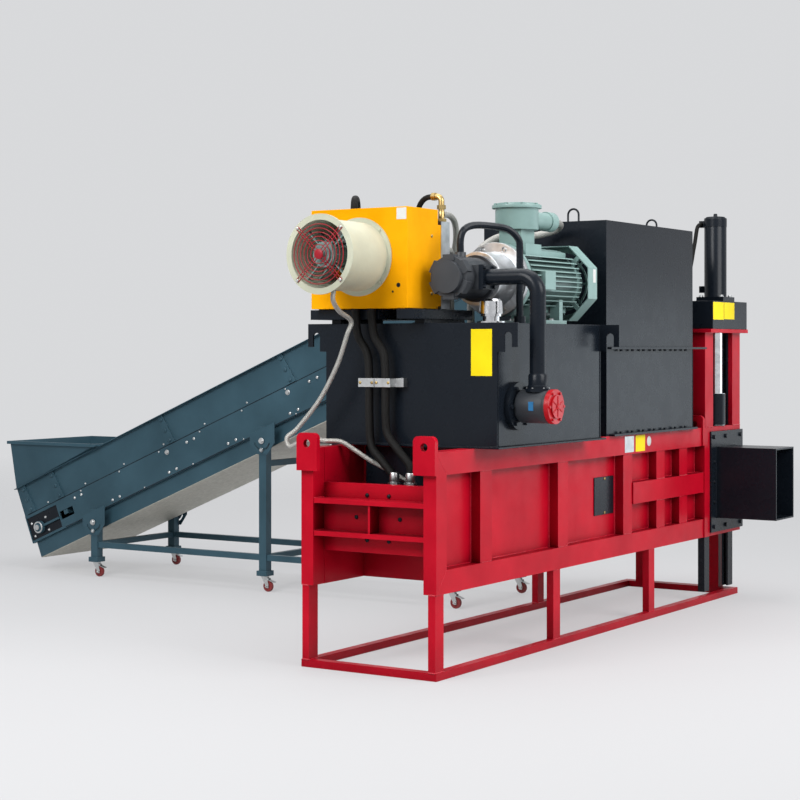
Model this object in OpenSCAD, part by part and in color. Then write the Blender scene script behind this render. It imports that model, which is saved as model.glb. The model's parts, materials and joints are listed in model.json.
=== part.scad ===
// Bagging press with a hydraulic power pack on top, a lifting side gate,
// a bagging chute and an inclined feed conveyor on casters.
// X runs from the ram end to the gate end, Y from the chute side to the conveyor, Z up.
// Inside machine() X is measured from the ram end face and Y from the chute-side face.

/* [Base frame] */
// Width of the floor rails
rail_w = 50; // [40:1:80]
// Height of the floor rails
rail_h = 40; // [30:1:60]
// Height of the legs between floor rails and body
leg_h = 385; // [250:5:600]
// Length of a leg section along the press
leg_l = 80; // [60:1:110]
// Width of a leg section across the press
leg_w = 42; // [30:1:50]

/* [Press body] */
// Length of the gate section beyond the gate axis
gate_end = 295; // [290:1:340]
// Width over the frame members
body_w = 820; // [780:10:1000]
// Height of the body
body_h = 710; // [690:5:800]
// Depth of the ribs and rails outside the side plates
rib_d = 65; // [50:1:80]
// Width of a rib
rib_w = 120; // [80:1:140]
// Height of the top and bottom rails
band_h = 118; // [100:1:140]
// Thickness of the side plates
side_t = 12; // [8:1:20]
// Thickness of the floor plate
floor_t = 20; // [12:1:30]

/* [Ram] */
// Stroke of the ram
ram_stroke = 1450; // [800:10:1460]
// Length of the ram box
ram_l = 1100; // [900:10:1150]
// Outer diameter of the ram cylinder
ram_barrel_d = 220; // [200:1:260]
// Bore of the ram cylinder
ram_bore = 180; // [160:1:190]
// Diameter of the ram rod
ram_rod_d = 120; // [80:1:140]

/* [Gate] */
// Distance of the gate axis from the feed box
gate_gap = 495; // [485:1:560]
// Width of the gate plate
gate_w = 370; // [360:1:380]
// Thickness of the gate plate
gate_t = 15; // [10:1:17]
// Lift of the gate
gate_stroke = 450; // [300:5:455]
// Height of the tower above the body
tower_h = 615; // [580:5:700]
// Width of a tower post
post_w = 132; // [110:1:140]
// Width of the tower window
window_w = 323; // [310:1:335]
// Outer diameter of the gate cylinder
gate_barrel_d = 146; // [140:1:165]
// Bore of the gate cylinder
gate_bore = 125; // [110:1:130]
// Diameter of the gate rod
gate_rod_d = 90; // [60:1:100]

/* [Chute] */
// Length of the bagging chute
chute_l = 430; // [300:5:600]
// Width of the chute outside
chute_w = 314; // [280:1:330]
// Height of the chute outside
chute_h = 463; // [400:1:480]
// Wall of the chute
chute_t = 10; // [6:1:14]

/* [Ejector] */
// Stroke of the ejector
eject_stroke = 570; // [300:5:575]
// Outer diameter of the ejector cylinder
eject_barrel_d = 140; // [125:1:180]
// Bore of the ejector cylinder
eject_bore = 110; // [90:1:115]
// Diameter of the ejector rod
eject_rod_d = 70; // [50:1:80]

/* [Feed box] */
// Start of the feed box along the press
feed_x = 1890; // [1880:1:1900]
// Length of the feed box
feed_l = 1240; // [1100:5:1250]
// Height of the lower box
feed_low_h = 520; // [400:5:600]
// Height of the upper box
feed_top_h = 740; // [730:5:800]
// Sheet thickness of the feed box
sheet_t = 8; // [5:1:12]

/* [Oil tank] */
// Start of the tank along the press
tank_x = 395; // [380:1:400]
// Length of the tank
tank_l = 1180; // [1100:5:1250]
// Width of the tank
tank_w = 1060; // [1000:5:1200]
// Height of the tank
tank_h = 640; // [600:5:700]

/* [Pump and motor] */
// Distance of the motor shaft from the chute-side face
motor_y = 200; // [190:1:215]
// Height of the motor shaft above the tank
shaft_h = 240; // [230:1:260]
// Diameter over the motor fins
fin_d = 380; // [350:1:400]
// Diameter of the motor flange
flange_d = 406; // [390:1:440]
// Diameter of the pump body
pump_d = 220; // [200:1:230]

/* [Cooler] */
// Width of the cooler
cooler_w = 610; // [560:5:640]
// Height of the cooler
cooler_h = 528; // [500:2:560]
// Depth of the yellow cooler housing
cooler_l = 305; // [280:5:330]
// Inside diameter of the fan duct
duct_d = 350; // [320:1:370]
// Length of the fan duct
duct_l = 364; // [330:1:380]

/* [Conveyor] */
// Rise of the conveyor from its tail to its head
conv_rise = 1776; // [1740:1:1790]
// Width over the side plates
conv_w = 800; // [760:5:860]
// Length of the conveyor along its slope
conv_l = 4640; // [4500:10:4650]
// Height of the skirt boards
skirt_h = 215; // [160:5:250]
// Height of the side plates
side_h = 212; // [205:1:230]
// Diameter of the belt drums
drum_d = 180; // [160:1:184]
// Section of the stand tubes
tube = 60; // [50:1:70]

/* [Casters] */
// Diameter of the caster wheels
wheel_d = 75; // [70:1:80]
// Width of the caster wheels
wheel_w = 22; // [18:1:26]

/* [Hidden] */
$fn = 64;

RED = [0.72, 0.05, 0.1];
BLACK = [0.1, 0.11, 0.13];
SLATE = [0.22, 0.31, 0.36];
GREEN = [0.62, 0.74, 0.7];
YELLOW = [1.0, 0.7, 0.02];
STEEL = [0.72, 0.73, 0.74];
PALE = [0.8, 0.84, 0.78];
HOSE = [0.16, 0.15, 0.14];

run_gap = 0.05;
slide_gap = 0.3;

gate_x = feed_x + feed_l + gate_gap;
body_l = gate_x + gate_end;
body_z = rail_h + leg_h;
body_top = body_z + body_h;
mid_y = body_w / 2;
inner_y0 = rib_d + side_t;
inner_y1 = body_w - inner_y0;
floor_z = body_z + floor_t;
section_x = gate_x - window_w / 2 - post_w + 56;
section_t = 25;
shelf_t = 25;
leg_xs = [0, 1245, 2485];
rib_xs = [446, 1304, 2133, 2600, 2942];
bar_x = 2255;
bar_z0 = body_z + 291;
bar_h = 128;
end_post_w = 83;

// Ram values
ram_z = body_z + 355;
bulkhead_x = 100;
bulkhead_t = 40;
bulkhead_z0 = body_z + 175;
bulkhead_z1 = body_z + 528;
bay_wall_x = 467;
bay_wall_t = 20;
ram_barrel_x0 = bulkhead_x + bulkhead_t;
ram_barrel_l = ram_stroke + 130;
ram_face_x = feed_x - 40;
ram_face_t = 50;
ram_side_gap = 10;
ram_shoe_h = ram_side_gap - slide_gap;
ram_wall = 25;
gland_l = 40;
piston_l = 60;
cap_t = 40;

// Gate values
tower_z = body_top + tower_h;
head_plate_t = 24;
head_z = tower_z + head_plate_t;
head_h = 183;
post_t = 30;
guide_t = 45;
guide_w = 78;
guide_y0 = post_t;
gate_y = guide_y0 + guide_t / 2;
groove_gap = 1.5;
groove_l = 30;
gate_wall_y = guide_y0 + guide_t + 3;
gate_wall_t = 20;
gate_z0 = body_z + 115;
gate_h = 520;
chute_z0 = body_z + 115;
clevis_d = 130;
clevis_z = body_top + 5;
clevis_h = 210;
clevis_hole = 150;
gate_barrel_h = gate_stroke + 103;
flange_t = 30;
bolt_d = 20;
bolt_h = 12;

// Power pack values
tank_z = body_top + 5;
tank_top = tank_z + tank_h;
tank_y0 = mid_y - tank_w / 2;
tank_y1 = mid_y + tank_w / 2;
shaft_z = tank_top + shaft_h;
motor_x = 950;
motor_l = 700;
bell_x = 740;
bell_d = 300;
pump_x = 420;
slab_x = 290;
riser_in = 70;
slab_h = 52;
slab_z = tank_top + 22;
slab_top = slab_z + slab_h;
bearer_w = 105;
rear_bearer_w = 440;
hose_room = 65;
hose_d = 44;
hose_x = tank_x - 65;
hose_ys = [516, 618];
clamp_z = tank_z + 305;
clamp_h = 46;
cooler_x = 300;
cooler_y = 360;
cooler_z = slab_top + 4;
core_l = 116;
fan_y = 662;
fan_z = cooler_z + 272;
duct_t = 8;
ring_d = duct_d + 64;
duct_x = cooler_x - duct_l;
pipe_d = 84;
pipe_x = 590;
pipe_y = tank_y0 - 130;
filter_z = body_top + 215;

// Conveyor values
conv_x = feed_x + 370;
slope = asin(conv_rise / conv_l);
head_in = 117;
tail_y = body_w - head_in + conv_l * cos(slope);
tail_z = body_z - 35;
plate_t = 6;
drum_z = -123;
tail_drum_y = -117;
head_drum_y = -conv_l + 150;
belt_t = 8;
belt_w = conv_w - 120;
drum_face = belt_w + 20;
shaft_d = 40;
pan_h = 115;
strip_in = 26;
strip_y = 20;
window_l = 328;
leg_shares = [0.178, 0.542, 0.897];
leg_ys = [for (s = leg_shares) tail_y - s * (tail_y - body_w)];
caster_z = 107;
pin_d = 12;
axle_d = 8;
trail = 28;

// Helpers
module machine() translate([-rail_w / 2, -body_w / 2, 0]) children();
module block(p, q) translate(p) cube([q[0] - p[0], q[1] - p[1], q[2] - p[2]]);
module rod_x(x0, x1, y, z, d) translate([x0, y, z]) rotate([0, 90, 0]) cylinder(d = d, h = x1 - x0);
module rod_y(y0, y1, x, z, d) translate([x, y1, z]) rotate([90, 0, 0]) cylinder(d = d, h = y1 - y0);
module rod_z(z0, z1, x, y, d) translate([x, y, z0]) cylinder(d = d, h = z1 - z0);
module plate_xz(y0, t, points) translate([0, y0 + t, 0])
    rotate([90, 0, 0]) linear_extrude(t) polygon(points);
module plate_yz(x0, t, points) translate([x0, 0, 0])
    rotate([90, 0, 90]) linear_extrude(t) polygon(points);
module both_sides() {
    children();
    translate([0, body_w, 0]) mirror([0, 1, 0]) children();
}
module both_posts() {
    children();
    translate([2 * gate_x, 0, 0]) mirror([1, 0, 0]) children();
}
module on_slope() translate([0, tail_y, tail_z]) rotate([-slope, 0, 0]) children();
module both_rails() {
    children();
    translate([2 * conv_x + conv_w, 0, 0]) mirror([1, 0, 0]) children();
}

// Swept tube along a smooth route
function unit(v) = v / norm(v);
function spline(a, b, c, d, t) =
    0.5 * (2 * b + (c - a) * t + (2 * a - 5 * b + 4 * c - d) * t * t + (3 * b - a - 3 * c + d) * t * t * t);
function smooth(p, n) = let (last = len(p) - 1) concat(
    [for (i = [0 : last - 1], k = [0 : n - 1])
        spline(p[max(i - 1, 0)], p[i], p[i + 1], p[min(i + 2, last)], k / n)],
    [p[last]]);
function heading(p, i) = unit(p[min(i + 1, len(p) - 1)] - p[max(i - 1, 0)]);
function across(t, s) = unit(s - (s * t) * t);
function sides_of(p, i) = i == 0
    ? across(heading(p, 0), abs(heading(p, 0)[2]) < 0.9 ? [0, 0, 1] : [1, 0, 0])
    : across(heading(p, i), sides_of(p, i - 1));
module hose(points, d, n = 3, sides = 10) {
    route = smooth(points, n);
    rings = [for (i = [0 : len(route) - 1])
        let (t = heading(route, i), s = sides_of(route, i), u = cross(t, s))
        [for (k = [0 : sides - 1]) route[i] + d / 2 * (cos(360 * k / sides) * s + sin(360 * k / sides) * u)]];
    skin = [for (i = [0 : len(route) - 2], k = [0 : sides - 1])
        [i * sides + k, (i + 1) * sides + k, (i + 1) * sides + (k + 1) % sides, i * sides + (k + 1) % sides]];
    start_cap = [[for (k = [0 : sides - 1]) k]];
    end_cap = [[for (k = [0 : sides - 1]) len(route) * sides - 1 - k]];
    polyhedron([for (r = rings) each r], concat(skin, start_cap, end_cap));
}

// Floor rails and legs welded into one skid
module base_frame() color(RED) machine() {
    base_l = body_l - 40;
    far_l = leg_l;
    both_sides() {
        block([0, 0, 0], [base_l, rail_w, rail_h]);
        for (x = leg_xs) block([x, 6, rail_h], [x + leg_l, 6 + leg_w, body_z]);
        block([base_l - far_l, 105, rail_h], [base_l, 195, body_z]);
    }
    block([0, 0, 0], [rail_w, body_w, rail_h]);
    block([base_l - far_l, 0, 0], [base_l, body_w, rail_h]);
}

// Holed ear, whose foot is foot_w wide beside the body
module lifting_ear(x, t, foot_w) {
    ear_w = 128;
    ear_h = 195;
    ear_out = 10;
    corner_r = 30;
    hole_d = 42;
    hole_drop = 55;
    top = body_top + 78;
    shoulder = top - corner_r;
    difference() {
        union() {
            block([x, -ear_out, top - ear_h], [x + t, foot_w, body_top]);
            block([x, -ear_out, body_top], [x + t, ear_w - ear_out, shoulder]);
            block([x, corner_r - ear_out, shoulder], [x + t, ear_w - ear_out - corner_r, top]);
            for (y = [corner_r - ear_out, ear_w - ear_out - corner_r])
                rod_x(x, x + t, y, shoulder, 2 * corner_r);
        }
        rod_x(x - 1, x + t + 1, ear_w / 2 - ear_out, top - hole_drop, hole_d);
    }
}

// Ribbed side of the pressing chamber
module ribbed_side() {
    band_x1 = section_x - end_post_w;
    post_d = 75;
    rib_in = 8;
    ear_t = 30;
    block([bulkhead_x, rib_d, body_z], [section_x, inner_y0, body_top]);
    for (z = [body_z, body_top - band_h]) block([leg_l, 0, z], [band_x1, rib_d, z + band_h]);
    for (x = rib_xs) block([x, rib_in, body_z + band_h], [x + rib_w, rib_d, body_top - band_h]);
    block([bar_x, 0, bar_z0], [band_x1, rib_d, bar_z0 + bar_h]);
    block([band_x1, -rib_in, body_z], [section_x, inner_y0, body_top]);
    block([0, 0, body_z], [bulkhead_x, post_d, body_top]);
    lifting_ear(-ear_t, ear_t, 118);
    lifting_ear(band_x1 - ear_t, ear_t, inner_y0);
}
module press_sides() color(RED) machine() both_sides() ribbed_side();

// Floor, roof, gate section, and the shelves and plate that hold the ram cylinder
module press_body() color(RED) machine() {
    opening_x0 = gate_x - chute_w / 2 + chute_t;
    opening_x1 = gate_x + chute_w / 2 - chute_t;
    opening_z0 = chute_z0 + chute_t;
    opening_z1 = chute_z0 + chute_h - chute_t;
    gate_wall_y1 = gate_wall_y + gate_wall_t;
    roof_z = body_top - side_t;
    shelf_y = 75;
    shelf_zs = [body_z + 258, body_z + 426];
    web_t = 12;
    block([bay_wall_x, inner_y0, body_z], [section_x, inner_y1, floor_z]);
    difference() {
        block([bay_wall_x, inner_y0, floor_z], [bay_wall_x + bay_wall_t, inner_y1, roof_z]);
        rod_x(bay_wall_x - 1, bay_wall_x + bay_wall_t + 1, mid_y, ram_z, ram_barrel_d + 2 * slide_gap);
    }
    block([bay_wall_x, inner_y0, roof_z], [feed_x, inner_y1, body_top]);
    block([feed_x + feed_l, inner_y0, roof_z], [section_x, inner_y1, body_top]);
    block([section_x, gate_wall_y, body_z], [body_l, body_w, floor_z]);
    difference() {
        union() {
            block([section_x, 0, body_z], [body_l, post_t, body_top]);
            block([section_x, gate_wall_y, floor_z], [body_l, gate_wall_y1, body_top]);
        }
        block([opening_x0, -1, opening_z0], [opening_x1, gate_wall_y1 + 1, opening_z1]);
    }
    block([body_l - section_t, post_t, body_z], [body_l, gate_wall_y, body_top]);
    block([body_l - section_t, gate_wall_y1, floor_z], [body_l, body_w, body_top]);
    difference() {
        block([section_x, inner_y1, floor_z], [body_l - section_t, body_w, body_top]);
        rod_y(inner_y1 - 1, body_w + 1, gate_x, ram_z, eject_rod_d + 10);
    }
    block([section_x, gate_wall_y1, roof_z], [body_l - section_t, inner_y1, body_top]);
    block([bulkhead_x, inner_y0, bulkhead_z0], [bulkhead_x + bulkhead_t, inner_y1, bulkhead_z1]);
    for (z = shelf_zs) block([5, shelf_y, z], [bulkhead_x, body_w - shelf_y, z + shelf_t]);
    block([15, mid_y - web_t / 2, shelf_zs[0] + shelf_t], [bulkhead_x, mid_y + web_t / 2, shelf_zs[1]]);
}

// Two posts and the head plate over the gate
module gate_tower() color(RED) machine() {
    x0 = gate_x - window_w / 2 - post_w;
    web_y = 95;
    both_posts() {
        block([x0, 0, body_top], [x0 + post_w, post_t, tower_z]);
        block([x0, post_t, body_top], [x0 + side_t, web_y, tower_z]);
    }
    difference() {
        block([x0 - 20, -50, tower_z], [2 * gate_x - x0 + 20, 160, head_z]);
        rod_z(tower_z - 1, head_z + 1, gate_x, gate_y, clevis_hole);
    }
}

// Channels that guide the gate from the skid to the head plate
module gate_guides() color(BLACK) machine() {
    edge = gate_x - gate_w / 2 + groove_l - 3;
    both_posts() difference() {
        block([edge - guide_w, guide_y0, rail_h + 20], [edge, guide_y0 + guide_t, tower_z]);
        block([edge - groove_l, gate_y - gate_t / 2 - groove_gap, rail_h],
              [edge + 1, gate_y + gate_t / 2 + groove_gap, tower_z + 1]);
    }
}

// Box that carries the gate cylinder
module gate_head() color(BLACK) machine() difference() {
    x0 = gate_x - window_w / 2 - post_w + 9;
    block([x0, -50, head_z], [2 * gate_x - x0 + 10, 160, head_z + head_h]);
    rod_z(head_z - 1, head_z + head_h + 1, gate_x, gate_y, clevis_hole);
}

module barrel(l, d, bore, rod_d) {
    difference() {
        cylinder(d = d, h = l);
        translate([0, 0, gland_l]) cylinder(d = bore, h = l - gland_l - cap_t / 2);
        translate([0, 0, -1]) cylinder(d = rod_d + 2 * run_gap, h = gland_l + 2);
    }
}

// Upright cylinder that lifts the gate, with its port blocks
module gate_cylinder() color(BLACK) machine() translate([gate_x, gate_y, head_z + head_h]) {
    barrel(gate_barrel_h, gate_barrel_d, gate_bore, gate_rod_d);
    difference() {
        translate([-95, -95, 0]) cube([190, 190, flange_t]);
        translate([0, 0, -1]) cylinder(d = gate_barrel_d - 2, h = flange_t + 2);
    }
    for (z = [60, gate_barrel_h - 60])
        translate([-22, gate_barrel_d / 2 - 6, z]) cube([44, 40, 44]);
}

// Gate plate with its lug
module gate_plate() color(BLACK) machine() {
    block([gate_x - gate_w / 2, gate_y - gate_t / 2, gate_z0],
          [gate_x + gate_w / 2, gate_y + gate_t / 2, gate_z0 + gate_h]);
    block([gate_x - 40, gate_y - gate_t / 2, gate_z0 + gate_h],
        [gate_x + 40, gate_y + gate_t / 2, clevis_z]);
}

// Chromed gate rod with its piston and end block
module gate_rod() color(STEEL) machine() translate([gate_x, gate_y, 0]) {
    barrel_z = head_z + head_h;
    piston_z = barrel_z + gland_l + 2;
    translate([0, 0, clevis_z]) cylinder(d = clevis_d, h = clevis_h);
    translate([0, 0, clevis_z + clevis_h]) cylinder(d = gate_rod_d, h = piston_z - clevis_z - clevis_h);
    translate([0, 0, piston_z]) cylinder(d = gate_bore - 2 * run_gap, h = 30);
}

// Square chute over which a bag is pulled, with its bolted flange
module bag_chute() color(BLACK) machine() {
    x0 = gate_x - chute_w / 2;
    plate_y = 20;
    plate_z0 = body_z + 24;
    plate_z1 = body_top - 30;
    difference() {
        union() {
            block([section_x, -plate_y, plate_z0], [body_l, 0, plate_z1]);
            block([x0, -chute_l, chute_z0], [x0 + chute_w, 0, chute_z0 + chute_h]);
        }
        block([x0 + chute_t, -chute_l - 1, chute_z0 + chute_t],
              [x0 + chute_w - chute_t, 1, chute_z0 + chute_h - chute_t]);
    }
    for (x = [section_x + 45, gate_x, body_l - 45], z = [plate_z0 + 35, plate_z1 - 35])
        rod_y(-plate_y - bolt_h, -plate_y, x, z, bolt_d + 8);
    for (z = [0.3, 0.5, 0.7], x = [section_x + 45, body_l - 45])
        rod_y(-plate_y - bolt_h, -plate_y, x, plate_z0 + z * (plate_z1 - plate_z0), bolt_d);
}

// Small cover screwed to the side plate
module inspection_cover() color(BLACK) machine()
    block([1855, rib_d - 6, body_z + 248], [2106, rib_d, body_z + 469]);

// Fixed cylinder of the ram with its port bosses
module ram_cylinder() color(BLACK) machine() translate([ram_barrel_x0, mid_y, ram_z]) {
    translate([ram_barrel_l, 0, 0])
        rotate([0, -90, 0]) barrel(ram_barrel_l, ram_barrel_d, ram_bore, ram_rod_d);
    for (y = [-50, 50]) translate([hose_x - ram_barrel_x0 - 40, y - 30, ram_barrel_d / 2 - 40])
        cube([80, 60, 80]);
}

// Hollow ram that slides over its cylinder
module ram() color(RED) machine() {
    y0 = inner_y0 + ram_side_gap;
    y1 = inner_y1 - ram_side_gap;
    z0 = floor_z + ram_side_gap;
    z1 = body_top - side_t - ram_side_gap;
    x0 = ram_face_x - ram_l;
    difference() {
        block([x0, y0, z0], [ram_face_x, y1, z1]);
        block([x0 - 1, y0 + ram_wall, z0 + ram_wall],
            [ram_face_x - ram_face_t, y1 - ram_wall, z1 - ram_wall]);
    }
    for (y = [y0 + 20, y1 - 120]) block([x0, y, z0 - ram_shoe_h], [ram_face_x, y + 100, z0]);
}

module ram_rod() color(STEEL) machine() {
    piston_x = ram_barrel_x0 + cap_t / 2 + 4;
    rod_x(piston_x, piston_x + piston_l, mid_y, ram_z, ram_bore - 2 * run_gap);
    rod_x(piston_x + piston_l, ram_face_x - ram_face_t, mid_y, ram_z, ram_rod_d);
}

// Side ejector behind the gate section
module ejector_cylinder() color(BLACK) machine() translate([gate_x, body_w, ram_z]) {
    l = eject_stroke + 130;
    translate([0, 0, 0]) rotate([-90, 0, 0]) barrel(l, eject_barrel_d, eject_bore, eject_rod_d);
    difference() {
        translate([-110, 0, -110]) cube([220, flange_t, 220]);
        translate([0, flange_t + 1, 0])
            rotate([90, 0, 0]) cylinder(d = eject_barrel_d - 2, h = flange_t + 2);
    }
}

module ejector_ram() color(STEEL) machine() {
    l = eject_stroke + 130;
    face_w = chute_w - 2 * chute_t - 10;
    face_h = chute_h - 2 * chute_t - 10;
    face_t = 40;
    y1 = inner_y1 - slide_gap;
    mid_z = chute_z0 + chute_h / 2;
    piston_y1 = body_w + l - cap_t / 2 - 3;
    block([gate_x - face_w / 2, y1 - face_t, mid_z - face_h / 2],
        [gate_x + face_w / 2, y1, mid_z + face_h / 2]);
    rod_y(y1, piston_y1 - 40, gate_x, ram_z, eject_rod_d);
    rod_y(piston_y1 - 40, piston_y1, gate_x, ram_z, eject_bore - 2 * run_gap);
}

// Lower feed box with bolted flanges
module feed_box_lower() color(BLACK) machine() {
    x1 = feed_x + feed_l;
    z1 = body_top + feed_low_h;
    lip = 35;
    lip_t = 12;
    difference() {
        union() {
            block([feed_x, 0, body_top], [x1, body_w, z1]);
            block([feed_x, -lip, z1 - lip_t], [x1 + 150, 0, z1]);
            block([feed_x - lip, 0, z1 - lip_t], [x1, body_w + lip, z1]);
        }
        block([feed_x + sheet_t, sheet_t, body_top - 1], [x1 - sheet_t, body_w - sheet_t, z1 + 1]);
    }
    block([feed_x + 40, -lip, body_top], [x1, 0, body_top + lip_t]);
    for (i = [0 : 6]) {
        x = feed_x + 160 + 155 * i;
        rod_z(body_top + lip_t, body_top + lip_t + bolt_h, x, -lip / 2, bolt_d);
        rod_z(z1 - lip_t - bolt_h, z1 - lip_t, x, -lip / 2, bolt_d);
    }
}

// Upper feed box, open at the back where the conveyor comes in
module feed_box_upper() color(BLACK) machine() {
    x1 = feed_x + feed_l;
    z0 = body_top + feed_low_h;
    z1 = z0 + feed_top_h;
    mouth_z = z0 + 60;
    mouth_x0 = conv_x - 40;
    mouth_x1 = min(conv_x + conv_w + 40, x1 - 20);
    loop_d = 12;
    difference() {
        block([feed_x, 0, z0], [x1, body_w, z1]);
        block([feed_x + sheet_t, sheet_t, z0 - 1], [x1 - sheet_t, body_w - sheet_t, z1 - sheet_t]);
        block([mouth_x0, body_w - sheet_t - 1, mouth_z], [mouth_x1, body_w + 1, z1 - 30]);
    }
    for (x = [feed_x + 40, x1 - 110], y = [200, body_w - 200]) translate([x, y, z1]) {
        for (s = [0, 70]) translate([0, s, 0]) cylinder(d = loop_d, h = 40, $fn = 24);
        translate([0, 35, 40]) rotate([0, -90, 0]) rotate([0, 0, -90])
            rotate_extrude(angle = 180, $fn = 48) translate([35, 0]) circle(d = loop_d, $fn = 24);
    }
}

// Welded tank whose end plates run out into lifting hooks
module tank_end(x, t) {
    hook = 120;
    hook_h = 150;
    slot = 44;
    block([x, tank_y0, tank_z], [x + t, tank_y1, tank_top]);
    for (side = [0, 1]) translate([0, side * 2 * mid_y, 0]) mirror([0, side, 0]) difference() {
        block([x, tank_y0 - hook, tank_top - hook_h], [x + t, tank_y0, tank_top]);
        block([x - 1, tank_y0 - hook + 34, tank_top - hook_h - 1],
            [x + t + 1, tank_y0 - hook + 34 + slot, tank_top - 70]);
        rod_x(x - 1, x + t + 1, tank_y0 - hook + 34 + slot / 2, tank_top - 70, slot);
        block([x - 1, tank_y0 - hook - 1, tank_top - hook_h - 1],
            [x + t + 1, tank_y0 - hook + 34, tank_top - 125]);
    }
}

module oil_tank() color(BLACK) machine() {
    cooler_bearers();
    end_t = 12;
    lip = 24;
    x1 = tank_x + tank_l;
    block([tank_x + end_t, tank_y0, tank_z], [x1 - end_t, tank_y1, tank_top]);
    tank_end(tank_x, end_t);
    tank_end(x1 - end_t, end_t);
    block([tank_x - lip, tank_y0 - lip, tank_z - 5], [x1 + lip, tank_y1 + lip, tank_z + 5]);
    for (y = [cooler_y - 20, tank_y1 - riser_in])
        block([tank_x + 40, y, tank_top], [slab_x + 560, y + 60, slab_z]);
}

// Two bearers under the cooler, the rear one set back behind the hoses
module cooler_bearers() {
    x1 = slab_x + 600;
    y0 = cooler_y - 45;
    y1 = cooler_y + cooler_w + 45;
    pad = 40;
    rear_y0 = min(tank_y1 - riser_in, y1 - rear_bearer_w);
    block([slab_x, y0, slab_z], [x1, y0 + bearer_w, slab_top]);
    block([slab_x + hose_room, rear_y0, slab_z], [x1, y1, slab_top]);
    for (y = [y0 + 55, y1 - pad - 55])
        block([slab_x + hose_room, y, slab_top], [cooler_x + cooler_l + core_l, y + pad, cooler_z]);
}

// Folded sheet housing of the cooler
module cooler_housing() color(YELLOW) machine() {
    t = 4;
    x1 = cooler_x + cooler_l;
    y1 = cooler_y + cooler_w;
    z1 = cooler_z + cooler_h;
    difference() {
        block([cooler_x, cooler_y, cooler_z], [x1, y1, z1]);
        block([cooler_x + t, cooler_y + t, cooler_z + t], [x1 + 1, y1 - t, z1 - t]);
        rod_x(cooler_x - 1, cooler_x + t + 1, fan_y, fan_z, duct_d);
    }
    for (y = [cooler_y, y1 - t]) block([x1, y, cooler_z + 14], [x1 + 30, y + t, z1 - 80]);
}

// Bar-plate radiator behind the housing
module cooler_core() color(STEEL) machine() {
    x0 = cooler_x + cooler_l + 30;
    x1 = cooler_x + cooler_l + core_l;
    y0 = cooler_y - 2;
    y1 = cooler_y + cooler_w + 2;
    z1 = cooler_z + cooler_h - 60;
    header = 50;
    bars = 15;
    pitch = (z1 - cooler_z - 20) / bars;
    for (y = [y0, y1 - header]) block([x0, y, cooler_z], [x1, y + header, z1]);
    for (i = [0 : bars]) block([x0 + 4, y0 + header, cooler_z + i * pitch],
        [x1 - 4, y1 - header, cooler_z + i * pitch + 8]);
    block([x0 + 30, y0 + header, cooler_z], [x1 - 30, y1 - header, z1 - 12]);
}

// Rolled duct with a flange at each end
module fan_duct() color(PALE) machine() translate([duct_x, fan_y, fan_z]) rotate([0, 90, 0]) {
    flange_l = 8;
    difference() {
        union() {
            cylinder(d = duct_d + 2 * duct_t, h = duct_l);
            for (z = [0, duct_l - flange_l]) translate([0, 0, z]) cylinder(d = ring_d, h = flange_l);
        }
        translate([0, 0, -1]) cylinder(d = duct_d, h = duct_l + 2);
    }
    for (a = [45 : 90 : 315]) rotate([0, 0, a]) translate([ring_d / 2 - 14, 0, duct_l - flange_l - 8])
        cylinder(d = 14, h = 8, $fn = 6);
}

// Guard of seven flat rings on four double spokes
module fan_guard() color([0.6, 0.08, 0.12]) machine() translate([duct_x - 6, fan_y, fan_z])
    rotate([0, 90, 0]) {
    wire = 5;
    rings = 7;
    hub_d = 54;
    step = (duct_d - hub_d) / 2 / rings;
    spoke_l = ring_d / 2 - 12;
    for (i = [1 : rings - 1]) rotate_extrude()
        translate([hub_d / 2 + i * step, -wire / 2]) square([wire, wire]);
    translate([0, 0, -wire / 2]) cylinder(d = hub_d, h = wire);
    for (a = [45 : 90 : 315]) rotate([0, 0, a]) {
        for (side = [-11, 6]) translate([hub_d / 2 - 8, side, 0]) cube([spoke_l - hub_d / 2, wire, wire]);
        translate([ring_d / 2 - 17, 0, -wire / 2]) cylinder(d = 26, h = wire / 2 + 6);
    }
}

// Motor of the axial fan on its struts
module fan_motor() color(GREEN) machine() translate([duct_x, fan_y, fan_z]) rotate([0, 90, 0]) {
    front = 40;
    l = 170;
    d = 132;
    difference() {
        union() {
            translate([0, 0, front]) cylinder(d = d, h = l);
            translate([0, 0, front - 14]) cylinder(d = d - 40, h = 14);
            for (a = [0 : 30 : 330])
                rotate([0, 0, a]) translate([d / 2 - 2, -2, front + 20]) cube([12, 4, l - 40]);
        }
        translate([0, 0, front + l - 60]) cylinder(d = 24 + 2 * run_gap, h = 61);
    }
    for (a = [0 : 90 : 270], z = [front + 30, front + l - 40])
        rotate([0, 0, a + 45]) translate([d / 2 - 2, -3, z])
        cube([(duct_d - d) / 2 + 1.5, 6, 24]);
}

// Axial fan wheel with set blades
module fan_impeller() color(STEEL) machine() translate([duct_x, fan_y, fan_z]) rotate([0, 90, 0]) {
    hub_z = 222;
    hub_h = 60;
    hub_r = 62;
    blades = 6;
    translate([0, 0, hub_z]) cylinder(r = hub_r, h = hub_h);
    translate([0, 0, hub_z - 60]) cylinder(d = 24, h = 60);
    intersection() {
        for (i = [0 : blades - 1])
            rotate([0, 0, 360 / blades * i]) translate([hub_r - 4, 0, hub_z + hub_h / 2])
            rotate([38, 0, 0]) translate([0, -48, -2]) cube([duct_d / 2, 96, 4]);
        cylinder(d = duct_d - 10, h = duct_l);
    }
}

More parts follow.
